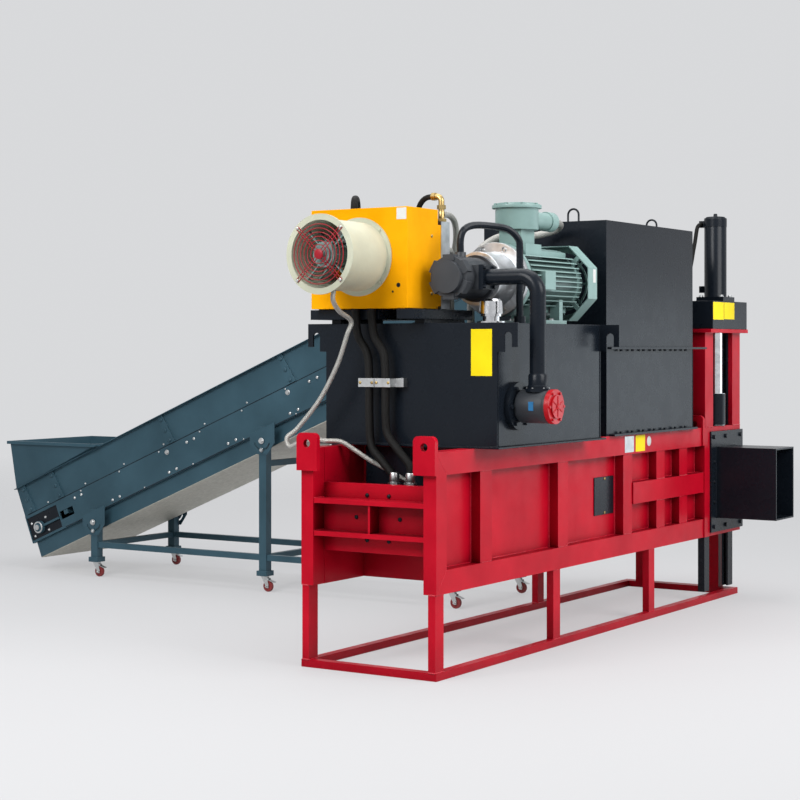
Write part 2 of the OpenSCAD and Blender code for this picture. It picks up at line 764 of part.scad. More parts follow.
// Axial piston pump with its end cover and suction port
module pump() color([0.24, 0.25, 0.27]) machine() {
    x1 = bell_x;
    rod_x(pump_x + 30, x1 - 24, motor_y, shaft_z, pump_d);
    rod_x(pump_x, pump_x + 30, motor_y, shaft_z, pump_d - 50);
    for (a = [0 : 60 : 300]) translate([pump_x + 24, motor_y, shaft_z]) rotate([a, 0, 0])
        translate([0, -34, pump_d / 2 - 26]) cube([46, 68, 34]);
    rod_x(x1 - 24, x1, motor_y, shaft_z, pump_d + 30);
    block([pipe_x - 60, motor_y - pump_d / 2 - 24, shaft_z - 62], [pipe_x + 60, motor_y, shaft_z + 62]);
    rod_z(shaft_z, shaft_z + pump_d / 2 + 24, pump_x + 150, motor_y, 58);
}

// Cast lantern between pump and motor
module bell_housing() color([0.74, 0.75, 0.76]) machine()
    translate([bell_x, motor_y, shaft_z]) rotate([0, 90, 0]) {
    l = motor_x - bell_x;
    cylinder(d = bell_d - 10, h = 24);
    translate([0, 0, 24]) cylinder(d1 = bell_d - 10, d2 = bell_d, h = l - 54);
    difference() {
        translate([0, 0, l - 30]) cylinder(d = flange_d, h = 30);
        for (a = [22.5 : 45 : 337.5])
            rotate([0, 0, a]) translate([flange_d / 2 - 28, 0, l - 31]) cylinder(d = 30, h = 10);
    }
}

// Finned motor housing on its feet
module motor_body() color(GREEN) machine() {
    core_d = fin_d - 60;
    x0 = motor_x;
    fin_x0 = x0 + 75;
    fin_x1 = x0 + motor_l - 50;
    rod_x(x0, x0 + 35, motor_y, shaft_z, flange_d);
    rod_x(x0 + 35, fin_x0, motor_y, shaft_z, core_d + 30);
    translate([fin_x0, motor_y, shaft_z]) rotate([90, 0, 90]) linear_extrude(fin_x1 - fin_x0) union() {
        circle(d = core_d);
        intersection() {
            circle(d = fin_d);
            union() {
                for (i = [-5 : 5]) translate([0, 27 * i]) square([fin_d, 6], center = true);
                for (i = [-3 : 3]) translate([27 * i, 0]) square([6, fin_d], center = true);
            }
        }
    }
    rod_x(fin_x1, x0 + motor_l + 20, motor_y, shaft_z, core_d - 20);
    for (y = [motor_y - 170, motor_y + 80]) {
        block([x0 + 120, y, tank_top], [x0 + 500, y + 90, tank_top + 24]);
        for (x = [x0 + 130, x0 + 440]) block([x, y + 15, tank_top + 24], [x + 40, y + 75, shaft_z - 100]);
    }
    block([x0 + 150, motor_y - 100, shaft_z], [x0 + 330, motor_y + 100, shaft_z + fin_d / 2 + 14]);
    block([x0 + 170, motor_y - fin_d / 2 - 22, shaft_z - 50], [x0 + 290, motor_y - 100, shaft_z + 50]);
}

// Eight-sided cowl over the motor's cooling fan
module motor_cowl() color(GREEN) machine()
    translate([motor_x + motor_l - 20, motor_y, shaft_z]) rotate([0, 90, 0]) {
    l = 110;
    w = 430;
    r = w / 2 / cos(22.5);
    difference() {
        rotate([0, 0, 22.5]) cylinder(r = r, h = l, $fn = 8);
        translate([0, 0, -1]) rotate([0, 0, 22.5]) cylinder(r = r - 6, h = l - 5, $fn = 8);
        for (k = [60 : 36 : 168]) translate([0, 0, l - 10]) difference() {
            cylinder(r = k + 12, h = 12);
            translate([0, 0, -1]) cylinder(r = k - 12, h = 14);
            for (a = [0, 45, 90, 135]) rotate([0, 0, a]) translate([-w, -6, -2]) cube([2 * w, 12, 16]);
        }
    }
    for (a = [45 : 90 : 315]) rotate([0, 0, a]) translate([150, -12, 0]) cube([60, 24, 22]);
}

// Round flameproof terminal box with its cable entry
module terminal_box() color(GREEN) machine() {
    x = motor_x + 230;
    z0 = shaft_z + fin_d / 2 + 14;
    z1 = z0 + 80;
    z2 = z1 + 118;
    block([x - 75, motor_y - 70, z0], [x + 75, motor_y + 70, z1]);
    rod_z(z1, z2, x, motor_y, 240);
    rod_x(x, x + 330, motor_y, z1 + 66, 96);
    rod_x(x + 330, x + 400, motor_y, z1 + 66, 112);
    rod_x(x + 400, x + 420, motor_y, z1 + 66, 70);
    rod_z(z2, z2 + 18, x, motor_y, 276);
    rod_z(z2 + 18, z2 + 28, x, motor_y, 236);
    for (a = [0 : 45 : 315]) translate([x, motor_y, z2 + 18]) rotate([0, 0, a]) translate([125, 0, 0])
        cylinder(d = 16, h = 10, $fn = 6);
}

// Suction pipe from the pump's port round an elbow down to the filter
module suction_pipe() color(BLACK) machine() {
    port_y = motor_y - pump_d / 2 - 24;
    bend_r = 95;
    z0 = filter_z + 75;
    block([pipe_x - 62, port_y - 26, shaft_z - 64], [pipe_x + 62, port_y, shaft_z + 64]);
    rod_y(pipe_y + bend_r, port_y - 26, pipe_x, shaft_z, pipe_d);
    translate([pipe_x, pipe_y + bend_r, shaft_z - bend_r]) rotate([90, 0, 90])
        rotate([0, 0, 90]) rotate_extrude(angle = 90) translate([bend_r, 0]) circle(d = pipe_d);
    rod_z(z0 + 18, shaft_z - bend_r, pipe_x, pipe_y, pipe_d);
    rod_z(z0, z0 + 18, pipe_x, pipe_y, pipe_d + 46);
    for (x = [-48, 48], z = [-50, 50]) rod_y(port_y - 40, port_y - 26, pipe_x + x, shaft_z + z, 20);
}

// Suction filter on the tank's side
module filter_housing() color(BLACK) machine() {
    rod_y(tank_y0 - 30, tank_y0, pipe_x, filter_z, 250);
    rod_y(tank_y0 - 210, tank_y0 - 30, pipe_x, filter_z, 150);
    rod_z(filter_z, filter_z + 75, pipe_x, pipe_y, pipe_d + 20);
    for (a = [0 : 60 : 300]) translate([pipe_x, tank_y0 - 30, filter_z])
        rotate([0, a, 0]) translate([105, 0, 0])
        rotate([90, 0, 0]) cylinder(d = 22, h = 12, $fn = 6);
}

module filter_cap() color([0.75, 0.06, 0.08]) machine() {
    y = tank_y0 - 210;
    rod_y(y - 26, y, pipe_x, filter_z, 178);
    rod_y(y - 36, y - 26, pipe_x, filter_z, 120);
    for (a = [0 : 60 : 300]) translate([pipe_x, y - 26, filter_z]) rotate([0, a, 0]) translate([76, 0, 0])
        rotate([90, 0, 0]) cylinder(d = 16, h = 9, $fn = 6);
}

// Filler breather on the tank lid
module breather() color(STEEL) machine() translate([650, 60, tank_top]) {
    cylinder(d = 150, h = 10);
    translate([0, 0, 10]) cylinder(d = 90, h = 26);
    translate([0, 0, 36]) cylinder(d = 110, h = 14);
    translate([0, 0, 50]) cylinder(d1 = 126, d2 = 118, h = 66);
    translate([0, 0, 116]) cylinder(d1 = 118, d2 = 92, h = 12);
}

// Hard pipe from the pump's outlet to the tank lid
module pressure_pipe() color(BLACK) machine() {
    x0 = pump_x + 150;
    x1 = 880;
    y1 = 16;
    z0 = shaft_z + pump_d / 2 + 24;
    hose([[x0, motor_y, z0], [x0, motor_y, z0 + 70], [x0 + 20, motor_y - 10, z0 + 120],
        [x0 + 80, motor_y - 35, z0 + 145],
          [x0 + 180, motor_y - 85, z0 + 145], [x1 - 60, y1 + 40, z0 + 130],
          [x1 - 10, y1 + 4, z0 + 80], [x1, y1, z0 + 20],
          [x1, y1, z0 - 150], [x1, y1, tank_top + 40]], 38, 3, 12);
    rod_z(tank_top, tank_top + 40, x1, y1, 64);
}

// Two ram hoses down the tank's end and the gate cylinder's hose
module hydraulic_hoses() color(HOSE) machine() {
    port_z = ram_z + ram_barrel_d / 2 + 40;
    ferrule_l = 60;
    barrel_z = head_z + head_h + gate_barrel_h;
    for (i = [0, 1]) {
        y = hose_ys[i];
        foot_y = mid_y - 50 + 100 * i;
        foot_z = port_z + ferrule_l * (1 - i);
        hose([[hose_x, foot_y, foot_z], [hose_x, foot_y + 4, foot_z + 60],
            [hose_x - 6, foot_y + 40, foot_z + 150],
              [hose_x, y - 14, clamp_z - 190], [hose_x, y, clamp_z - 30],
              [hose_x, y, clamp_z + clamp_h + 30],
              [hose_x, y + 14, clamp_z + 180], [hose_x - 4, y + 66, slab_z - 90],
              [hose_x - 4, y + 82, slab_z + 10],
              [hose_x - 4, y + 82, cooler_z]], hose_d, 2, 10);
    }
    rod_z(port_z, port_z + ferrule_l, hose_x, mid_y - 50, hose_d + 8);
    hose([[gate_x - 22, gate_y + 90, barrel_z - 38], [gate_x - 110, gate_y + 110, barrel_z - 60],
          [gate_x - 200, gate_y + 160, barrel_z - 220], [gate_x - 300, gate_y + 250, head_z + 100],
          [gate_x - 380, gate_y + 330, tower_z - 250], [gate_x - 400, gate_y + 330, body_top + 200],
          [gate_x - 400, gate_y + 330, body_top]], 26, 3, 8);
}

// Bracket and two clamps that hold the ram hoses to the tank
module hose_clamp() color([0.7, 0.74, 0.68]) machine() difference() {
    half = 50;
    bracket_y = 420;
    union() {
        block([hose_x + 40, bracket_y, clamp_z], [tank_x, bracket_y + half, clamp_z + clamp_h]);
        block([hose_x + 26, bracket_y, clamp_z], [hose_x + 40, hose_ys[1] + half, clamp_z + clamp_h]);
        for (y = hose_ys) block([hose_x - 32, y - half, clamp_z],
            [hose_x + 26, y + half - 2, clamp_z + clamp_h]);
    }
    for (y = hose_ys) rod_z(clamp_z - 1, clamp_z + clamp_h + 1, hose_x, y, hose_d + 6);
}

// Braided cooler lines and their fittings
module cooler_hoses() color(STEEL) machine() {
    x = cooler_x + cooler_l + 72;
    core_x = cooler_x + cooler_l + core_l;
    z = cooler_z + cooler_h - 60;
    rod_z(z, z + 60, x, cooler_y + 23, 44);
    rod_z(z, z + 40, x, cooler_y + cooler_w - 23, 44);
    hose([[x + 10, cooler_y + 23, z + 40], [x + 90, cooler_y + 30, z + 42],
        [x + 200, cooler_y + 60, z + 10],
          [x + 280, cooler_y + 100, z - 80], [x + 320, cooler_y + 150, z - 220],
          [x + 330, cooler_y + 160, slab_top + 140],
          [x + 330, cooler_y + 160, tank_top]], 34, 3, 8);
    hose([[core_x, cooler_y + 30, z - 150], [x + 120, cooler_y + 40, z - 150],
        [x + 200, cooler_y + 90, z - 190],
          [x + 250, cooler_y + 130, z - 300], [x + 260, cooler_y + 140, tank_top]], 34, 3, 8);
}

// Cable conduits of the fan and of the main motor
module cable_conduits() color([0.68, 0.66, 0.6]) machine() {
    box_x = motor_x + 650;
    box_z = shaft_z + fin_d / 2 + 160;
    fan_low = fan_z - duct_d / 2 - duct_t;
    barrel_end_x = bay_wall_x - 47;
    hose([[duct_x + 130, fan_y, fan_low], [duct_x + 130, fan_y + 4, fan_low - 50],
          [duct_x + 200, fan_y + 14, slab_z + 40], [slab_x - 50, fan_y + 10, slab_z - 10],
          [slab_x - 60, fan_y + 28, tank_top - 60], [slab_x - 50, tank_y1 - 180, tank_top - 220],
          [slab_x - 50, tank_y1 - 70, tank_top - 400], [slab_x - 70, tank_y1 + 60, body_top + 90],
          [slab_x - 90, tank_y1 + 118, body_top + 36], [slab_x - 90, tank_y1 + 100, body_top - 10],
          [slab_x - 90, tank_y1 + 40, body_top + 10], [slab_x - 90, body_w + 62, body_top + 31],
          [slab_x - 80, body_w - 10, body_top + 26], [slab_x - 60, body_w - 92, body_top + 22],
          [slab_x - 25, body_w - 152, body_top - 20],
          [slab_x + 20, mid_y + 190, body_top - 75], [slab_x + 80, mid_y + 110, body_top - 130],
          [barrel_end_x, mid_y + 20, ram_z + ram_barrel_d / 2 + 50],
          [barrel_end_x, mid_y, ram_z + ram_barrel_d / 2]], 26, 3, 8);
    hose([[box_x, motor_y, box_z], [box_x + 60, motor_y, box_z], [box_x + 150, motor_y + 30, box_z - 10],
          [box_x + 205, motor_y + 100, box_z - 34], [box_x + 170, motor_y + 190, box_z - 58],
          [box_x + 60, motor_y + 240, box_z - 70], [box_x - 160, motor_y + 280, box_z - 90],
          [box_x - 330, motor_y + 320, box_z - 200], [box_x - 360, motor_y + 330, box_z - 360],
          [box_x - 360, motor_y + 330, tank_top]], 44, 3, 8);
}

// Folded side plates with their take-up windows, slider bed and strips over the pan
module conveyor_frame() color(SLATE) machine() on_slope() {
    fold = 30;
    bed_z = drum_z + drum_d / 2 + slide_gap;
    bed_t = 5;
    tie_h = 80;
    tie_w = 40;
    x1 = conv_x + conv_w;
    both_rails() difference() {
        union() {
            block([conv_x, -conv_l, -side_h], [conv_x + plate_t, 0, 0]);
            block([conv_x, -conv_l, -side_h], [conv_x + fold, 0, -side_h + plate_t]);
            block([conv_x + strip_in, -conv_l + 40, -side_h - pan_h], [conv_x + fold, -strip_y, -side_h]);
        }
        block([conv_x - 1, -window_l, drum_z - 72], [conv_x + plate_t + 1, -8, drum_z + 100]);
        block([conv_x - 1, -window_l - 150, drum_z - 22],
            [conv_x + plate_t + 1, -window_l - 12, drum_z + 38]);
        rod_x(conv_x - 1, conv_x + plate_t + 1, head_drum_y, drum_z, shaft_d + 2 * run_gap);
    }
    block([conv_x + plate_t, head_drum_y + 130, bed_z - bed_t], [x1 - plate_t, tail_drum_y - 230, bed_z]);
    for (y = [head_drum_y + 250, -conv_l / 2, tail_drum_y - 300])
        block([conv_x + plate_t, y, bed_z - bed_t - tie_h], [x1 - plate_t, y + tie_w, bed_z - bed_t]);
}

// Bolted skirt boards, set in behind the side plates, with folded top edges and stiffeners
module conveyor_skirts() color(SLATE) machine() on_slope() {
    lip = 28;
    set_in = 4;
    t = 4;
    x0 = conv_x + set_in;
    rib_out = 12;
    rib_ys = concat([-70], [for (i = [0 : 3]) -conv_l * (0.081 + 0.2446 * i)]);
    both_rails() {
        block([x0, -conv_l, 0], [x0 + t, 0, skirt_h]);
        block([conv_x - lip, -conv_l + 280, skirt_h], [x0 + t, 0, skirt_h + 5]);
        for (y = rib_ys) translate([x0, y, 0]) rotate([0, -90, 0])
            linear_extrude(rib_out) polygon([[4, -60], [skirt_h, -22], [skirt_h, 18], [4, 24]]);
    }
    block([x0 + t, -plate_t, 0], [2 * conv_x + conv_w - x0 - t, 0, skirt_h]);
}

// Flared feed hopper over the tail
hopper_t = 5;
hopper_flare = 45;
hopper_z = body_z + 525;
hopper_y0 = tail_y - 740;
hopper_y1 = tail_y + 105;
hopper_foot = skirt_h + 5;
hopper_run = 880;
module funnel(inset, drop) hull() {
    translate([conv_x - hopper_flare + inset, hopper_y0 + inset, hopper_z + drop])
        cube([conv_w + 2 * hopper_flare - 2 * inset, hopper_y1 - hopper_y0 - 2 * inset, 1]);
    on_slope() translate([conv_x + inset, -hopper_run + inset, hopper_foot - drop])
        cube([conv_w - 2 * inset, hopper_run - 2 * inset, 1]);
}
module conveyor_hopper() color(SLATE) machine() {
    lip = 18;
    lip_h = 22;
    x0 = conv_x - hopper_flare;
    x1 = conv_x + conv_w + hopper_flare;
    difference() {
        funnel(0, 0);
        funnel(hopper_t, 2);
    }
    difference() {
        block([x0 - lip, hopper_y0 - lip, hopper_z + 6 - lip_h],
            [x1 + lip, hopper_y1 + lip, hopper_z + 6]);
        block([x0 + hopper_t, hopper_y0 + hopper_t, hopper_z + 6 - lip_h - 1],
              [x1 - hopper_t, hopper_y1 - hopper_t, hopper_z + 8]);
        on_slope() block([x0 - 2 * lip, -2 * hopper_run, 0], [x1 + 2 * lip, 0, hopper_foot]);
    }
}

// Galvanised sheet under the return run
module conveyor_pan() color([0.66, 0.66, 0.6]) machine() on_slope() {
    t = 4;
    y0 = -conv_l + 40;
    x0 = conv_x + strip_in;
    x1 = conv_x + conv_w - strip_in;
    block([x0, y0, -side_h - pan_h - t], [x1, -strip_y, -side_h - pan_h]);
    block([x0 + t, -strip_y - t, -side_h - pan_h], [x1 - t, -strip_y, -side_h - 12]);
}

function joint_z(y) = tail_z + (tail_y - y) * tan(slope);

function edge_z(y) = joint_z(y) - side_h / cos(slope);

// Legs, pivot plates and tie bars of the conveyor
module conveyor_stand() color(SLATE) machine() {
    bar = 40;
    bar_z = 210;
    upper_bar_z = edge_z(leg_ys[1]) - 250;
    hub_h = 34;
    hub_w = 84;
    hook_w = 66;
    hook_h = 140;
    hook_z = joint_z(body_w) - 200;
    x = conv_x - tube;
    both_rails() {
        for (y = leg_ys) {
            difference() {
                union() {
                    block([x, y - tube / 2, caster_z + hub_h], [x + tube, y + tube / 2, edge_z(y) + 20]);
                    block([x + tube / 2 - hub_w / 2, y - hub_w / 2, caster_z],
                          [x + tube / 2 + hub_w / 2, y + hub_w / 2, caster_z + hub_h]);
                }
                rod_z(caster_z - 1, caster_z + hub_h - 4, x + tube / 2, y, pin_d + 2 * run_gap);
            }
            pivot_plate(y, edge_z(y) - 75);
        }
        for (i = [0, 1]) block([x + 10, leg_ys[i + 1] + tube / 2, bar_z],
                               [x + 10 + bar, leg_ys[i] - tube / 2, bar_z + bar]);
    }
    for (y = leg_ys) block([conv_x, y - bar / 2, bar_z], [conv_x + conv_w, y + bar / 2, bar_z + bar]);
    both_rails() {
        block([conv_x - hook_w, body_w, hook_z], [conv_x, body_w + plate_t, hook_z + hook_h]);
        block([conv_x - plate_t, body_w, hook_z], [conv_x, body_w + hook_w, hook_z + hook_h]);
    }
    block([conv_x, leg_ys[1] - bar / 2, upper_bar_z],
        [conv_x + conv_w, leg_ys[1] + bar / 2, upper_bar_z + bar]);
}

// Plate on a leg's outside with its pivot bolt and arc slot
module pivot_plate(y, z) {
    half = 104;
    t = 6;
    x = conv_x - tube - t;
    slot_r = 62;
    slot_w = 12;
    difference() {
        plate_yz(x, t, [[y - half, edge_z(y - half) + 10], [y - half, z - 10], [y - 45, z - 92],
            [y + 45, z - 92],
                        [y + half, z - 25], [y + half, edge_z(y + half) + 10]]);
        intersection() {
            difference() {
                rod_x(x - 1, x + t + 1, y, z, 2 * slot_r + slot_w);
                rod_x(x - 2, x + t + 2, y, z, 2 * slot_r - slot_w);
            }
            block([x - 1, y - half, z - slot_r - slot_w], [x + t + 1, y + half, z - 14]);
        }
    }
    for (dz = [0, -slot_r]) rod_x(x - 14, x, y, z + dz, 26);
}

module stadium(r, y0, y1) {
    translate([y0, 0]) circle(r);
    translate([y1, 0]) circle(r);
    translate([y0, -r]) square([y1 - y0, 2 * r]);
}

// Cleated belt loop
module conveyor_belt() color([0.12, 0.13, 0.13]) machine() on_slope() {
    r = drum_d / 2 + slide_gap;
    x0 = conv_x + (conv_w - belt_w) / 2;
    pitch = 400;
    cleats = floor((tail_drum_y - head_drum_y) / pitch);
    translate([x0, 0, drum_z]) rotate([90, 0, 90]) linear_extrude(belt_w) difference() {
        stadium(r + belt_t, head_drum_y, tail_drum_y);
        stadium(r, head_drum_y, tail_drum_y);
    }
    for (i = [0 : cleats - 1])
        block([x0 + 20, head_drum_y + 100 + i * pitch, drum_z + r + belt_t],
              [x0 + belt_w - 20, head_drum_y + 108 + i * pitch, drum_z + r + belt_t + 36]);
}

// Take-up bearings of the tail drum on plates behind the windows
module tail_bearings() color(SLATE) machine() on_slope() both_rails() difference() {
    plate_x = conv_x + plate_t;
    edge = 10;
    screw = 16;
    union() {
        block([plate_x, -window_l - edge, drum_z - 80], [plate_x + 8, -2, drum_z + 110]);
        rod_x(conv_x - 20, plate_x, tail_drum_y, drum_z, 92);
        rod_x(conv_x - 26, conv_x - 20, tail_drum_y, drum_z, 62);
        block([plate_x - screw, -window_l + 4, drum_z - screw / 2],
            [plate_x, tail_drum_y, drum_z + screw / 2]);
    }
    rod_x(conv_x - 60, plate_x + 9, tail_drum_y, drum_z, shaft_d + 2 * run_gap);
}

module drum(y, reach) {
    mid = conv_x + conv_w / 2;
    rod_x(mid - drum_face / 2, mid + drum_face / 2, y, drum_z, drum_d);
    rod_x(conv_x - reach, conv_x + conv_w + reach, y, drum_z, shaft_d);
}
module head_drum() color(STEEL) machine() on_slope() drum(head_drum_y, 12);
module tail_drum() color(STEEL) machine() on_slope() drum(tail_drum_y, 36);

// Casters: fork with its kingpin, and wheel
function caster_at(i) = [
    i % 2 == 0 ? conv_x - tube / 2 : conv_x + conv_w + tube / 2,
    leg_ys[floor(i / 2)]];
module caster_fork(i) color(STEEL) machine() translate([caster_at(i)[0], caster_at(i)[1], 0])
    rotate([0, 0, 180]) {
    crown_z = caster_z - slide_gap;
    cheek_t = 3;
    cheek_x = wheel_w / 2 + 1;
    translate([0, 0, crown_z - 6]) cylinder(d = 58, h = 6);
    translate([0, 0, crown_z]) cylinder(d = pin_d, h = 26);
    for (s = [0, 1]) mirror([s, 0, 0]) plate_yz(cheek_x, cheek_t,
        [[-22, crown_z - 6], [24, crown_z - 6], [trail + 13, wheel_d / 2 + 4],
        [trail + 9, wheel_d / 2 - 12],
         [trail - 9, wheel_d / 2 - 12], [trail - 15, wheel_d / 2 + 4]]);
    rod_x(-cheek_x - cheek_t - 5, cheek_x + cheek_t + 5, trail, wheel_d / 2, axle_d);
    translate([-14, trail + 4, wheel_d + 5]) rotate([-18, 0, 0]) cube([28, 52, 4]);
    for (s = [-1, 1]) translate([s * (cheek_x + 1.5) - 1.5, 16, wheel_d + 4]) cube([3, 22, 12]);
}
module caster_wheel(i) color([0.45, 0.08, 0.08]) machine()
    translate([caster_at(i)[0], caster_at(i)[1] - trail, wheel_d / 2])
    rotate([0, 90, 0]) difference() {
        rotate_extrude() polygon([[axle_d / 2 + run_gap, -wheel_w / 2], [15, -wheel_w / 2],
            [15, -wheel_w / 2 + 3],
            [wheel_d / 2 - 11, -wheel_w / 2 + 3], [wheel_d / 2 - 9, -wheel_w / 2],
            [wheel_d / 2 - 2, -wheel_w / 2],
            [wheel_d / 2, -wheel_w / 2 + 4], [wheel_d / 2, wheel_w / 2 - 4],
            [wheel_d / 2 - 2, wheel_w / 2],
            [wheel_d / 2 - 9, wheel_w / 2], [wheel_d / 2 - 11, wheel_w / 2 - 3], [15, wheel_w / 2 - 3],
            [15, wheel_w / 2], [axle_d / 2 + run_gap, wheel_w / 2]]);
    }

base_frame();
press_sides();
press_body();
gate_tower();
gate_guides();
gate_head();
gate_cylinder();
bag_chute();
inspection_cover();
ram_cylinder();
ejector_cylinder();
feed_box_lower();
feed_box_upper();
oil_tank();
cooler_housing();
cooler_core();
fan_duct();
fan_guard();
fan_motor();
pump();
bell_housing();
motor_body();
motor_cowl();
terminal_box();
suction_pipe();
filter_housing();
filter_cap();
breather();
pressure_pipe();
hydraulic_hoses();
hose_clamp();
cooler_hoses();
cable_conduits();
conveyor_frame();
conveyor_skirts();
conveyor_hopper();
conveyor_pan();
conveyor_stand();
conveyor_belt();
tail_bearings();
ram();
ram_rod();
gate_plate();
gate_rod();
ejector_ram();
fan_impeller();
head_drum();
tail_drum();
for (i = [0 : 5]) caster_fork(i);
for (i = [0 : 5]) caster_wheel(i);
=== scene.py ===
import json
import math

import bmesh
import bpy
from mathutils import Matrix, Vector


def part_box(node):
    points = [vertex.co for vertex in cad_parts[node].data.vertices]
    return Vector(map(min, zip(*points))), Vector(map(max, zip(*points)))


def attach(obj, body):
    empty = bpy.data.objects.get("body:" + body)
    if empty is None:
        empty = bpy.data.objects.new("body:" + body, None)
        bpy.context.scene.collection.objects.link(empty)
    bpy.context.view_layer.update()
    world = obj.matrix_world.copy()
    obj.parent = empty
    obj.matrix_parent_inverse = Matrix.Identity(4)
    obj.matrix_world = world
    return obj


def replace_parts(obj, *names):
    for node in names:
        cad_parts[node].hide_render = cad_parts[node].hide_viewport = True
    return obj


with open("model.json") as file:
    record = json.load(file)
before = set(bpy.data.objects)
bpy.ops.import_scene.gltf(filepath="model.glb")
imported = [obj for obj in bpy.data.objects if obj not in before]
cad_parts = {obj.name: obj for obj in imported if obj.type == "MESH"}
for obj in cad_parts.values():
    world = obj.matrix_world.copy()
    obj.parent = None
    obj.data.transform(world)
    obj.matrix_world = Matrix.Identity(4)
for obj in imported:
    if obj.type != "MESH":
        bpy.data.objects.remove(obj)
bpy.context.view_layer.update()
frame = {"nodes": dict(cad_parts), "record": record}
NODES = frame["nodes"]
SLOT_OF = {part["node"]: part["material_slot"] for part in frame["record"]["subparts"]}

# Sizes in millimetres, from the ram end face, the chute-side face and the floor

MM = 0.001

# The part's origin, at the middle of the end rail and of the body
RAIL_MID, BODY_MID = 25, 410

# Press body with its legs, end shelves and ribbed sides
BODY_Z, BODY_TOP, BODY_W = 425, 1135, 820
RAM_Z = BODY_Z + 355
BULKHEAD_X, SECTION_X, END_POST_W = 100, 3387.5, 83
RIB_XS, RIB_W, RIB_D, RIB_STEP = (446, 1304, 2133, 2600, 2942), 120, 65, 8
BAND_H = 118
BAR_X, BAR_Z, BAR_H = 2255, BODY_Z + 291, 128
LEG_XS, LEG_Y, LEG_L, LEG_W, RAIL_H = (0, 1245, 2485), 6, 80, 42, 40
SHELF_X, SHELF_Y, SHELF_ZS, SHELF_T = 5, 75, (BODY_Z + 258, BODY_Z + 426), 25
COVER_MID_X, COVER_T = 1985, 6

# Feed box, gate tower and chute
FEED_X, FEED_L, FEED_Z = 1890, 1240, 1655
GATE_X, GATE_Y = 3625, 52.5
HEAD_Z, HEAD_TOP, BARREL_TOP, GATE_BARREL_D = 1774, 1957, 2510, 146
POST_XS, POST_W, POST_TOP = (GATE_X - 293.5, GATE_X + 161.5), 132, 1750
CHUTE_XS, CHUTE_ZS, FLANGE_Y = (GATE_X - 157, GATE_X + 157), (BODY_Z + 115, BODY_Z + 578), -20

# Power pack: tank, the slab over it, cooler with its core and ports, fan duct and motor
TANK_X, TANK_L, TANK_Y0, TANK_Y1, TANK_Z, TANK_TOP = 395, 1180, -120, 940, 1145, 1780
SLAB_X, SLAB_Z, SLAB_TOP = 290, 1802, 1854
COOLER_X, COOLER_Y, COOLER_Z = 300, 360, 1858
COOLER_L, COOLER_W, COOLER_H, CORE_L = 305, 610, 528, 116
COOLER_TOP = COOLER_Z + COOLER_H
CORE_X = COOLER_X + COOLER_L + CORE_L
PORT_X, PORT_Z = COOLER_X + COOLER_L + 72, COOLER_TOP - 60
NEAR_PORT_Y, FAR_PORT_Y = COOLER_Y + 23, COOLER_Y + COOLER_W - 23
DUCT_X, DUCT_D, RING_D, FAN_Y, FAN_Z = -64, 350, 414, 662, 2130
MOTOR_X, MOTOR_Y, SHAFT_Z = 950, 200, 2020

# Feed conveyor, its stand and casters
CONV_X, CONV_W, CONV_L, CONV_RISE, SIDE_H = 2260, 800, 4640, 1776, 212
SLOPE = math.asin(CONV_RISE / CONV_L)
TAIL_Y, TAIL_Z = BODY_W - 117 + CONV_L * math.cos(SLOPE), 390
STAND_YS = [TAIL_Y - share * (TAIL_Y - BODY_W) for share in (0.178, 0.542, 0.897)]
CASTERS, FORK_HALF_W = 6, 29.2

LEFT, FRONT, UP = Vector((-1, 0, 0)), Vector((0, -1, 0)), Vector((0, 0, 1))


def at(x, y, z):
    """A point of the machine, in the part's own frame and metres."""
    return Vector(((x - RAIL_MID) * MM, (y - BODY_MID) * MM, z * MM))


def on_slope(x, y, z):
    """A point given along, and square to, the conveyor's slope."""
    return at(
        x,
        TAIL_Y + y * math.cos(SLOPE) + z * math.sin(SLOPE),
        TAIL_Z - y * math.sin(SLOPE) + z * math.cos(SLOPE),
    )


# Materials

def new_material(name):
    """Material with its tree and its main shader."""
    material = bpy.data.materials.new(name)
    material.use_nodes = True
    tree = material.node_tree
    shader = tree.nodes["Principled BSDF"]
    return material, tree, shader


def add(tree, kind, **values):
    """New node with values for its sockets or settings."""
    made = tree.nodes.new(kind)
    for key, value in values.items():
        if key in made.inputs:
            made.inputs[key].default_value = value
        else:
            setattr(made, key, value)
    return made


def noise(tree, scale, detail=4.0):
    place = add(tree, "ShaderNodeTexCoord")
    made = add(tree, "ShaderNodeTexNoise", Scale=scale, Detail=detail, Roughness=0.55)
    tree.links.new(place.outputs["Object"], made.inputs["Vector"])
    return made.outputs["Fac"]


def spread(tree, value, low, high, out_low, out_high):
    """Maps a range of values to another range, without going past its ends."""
    made = add(tree, "ShaderNodeMapRange")
    for key, number in zip(("From Min", "From Max", "To Min", "To Max"), (low, high, out_low, out_high)):
        made.inputs[key].default_value = number
    tree.links.new(value, made.inputs["Value"])
    return made.outputs["Result"]


def mixed(tree, factor, colour_a, colour_b):
    """Blend of two colours, each a plain colour or a socket."""
    made = add(tree, "ShaderNodeMix", data_type="RGBA")
    tree.links.new(factor, made.inputs[0])
    for index, value in ((6, colour_a), (7, colour_b)):
        if isinstance(value, tuple):
            made.inputs[index].default_value = (*value, 1)
        else:
            tree.links.new(value, made.inputs[index])
    return made.outputs[2]


def bumped(tree, shader, height, strength, distance):
    made = add(tree, "ShaderNodeBump", Strength=strength, Distance=distance)
    tree.links.new(height, made.inputs["Height"])
    tree.links.new(made.outputs["Normal"], shader.inputs["Normal"])


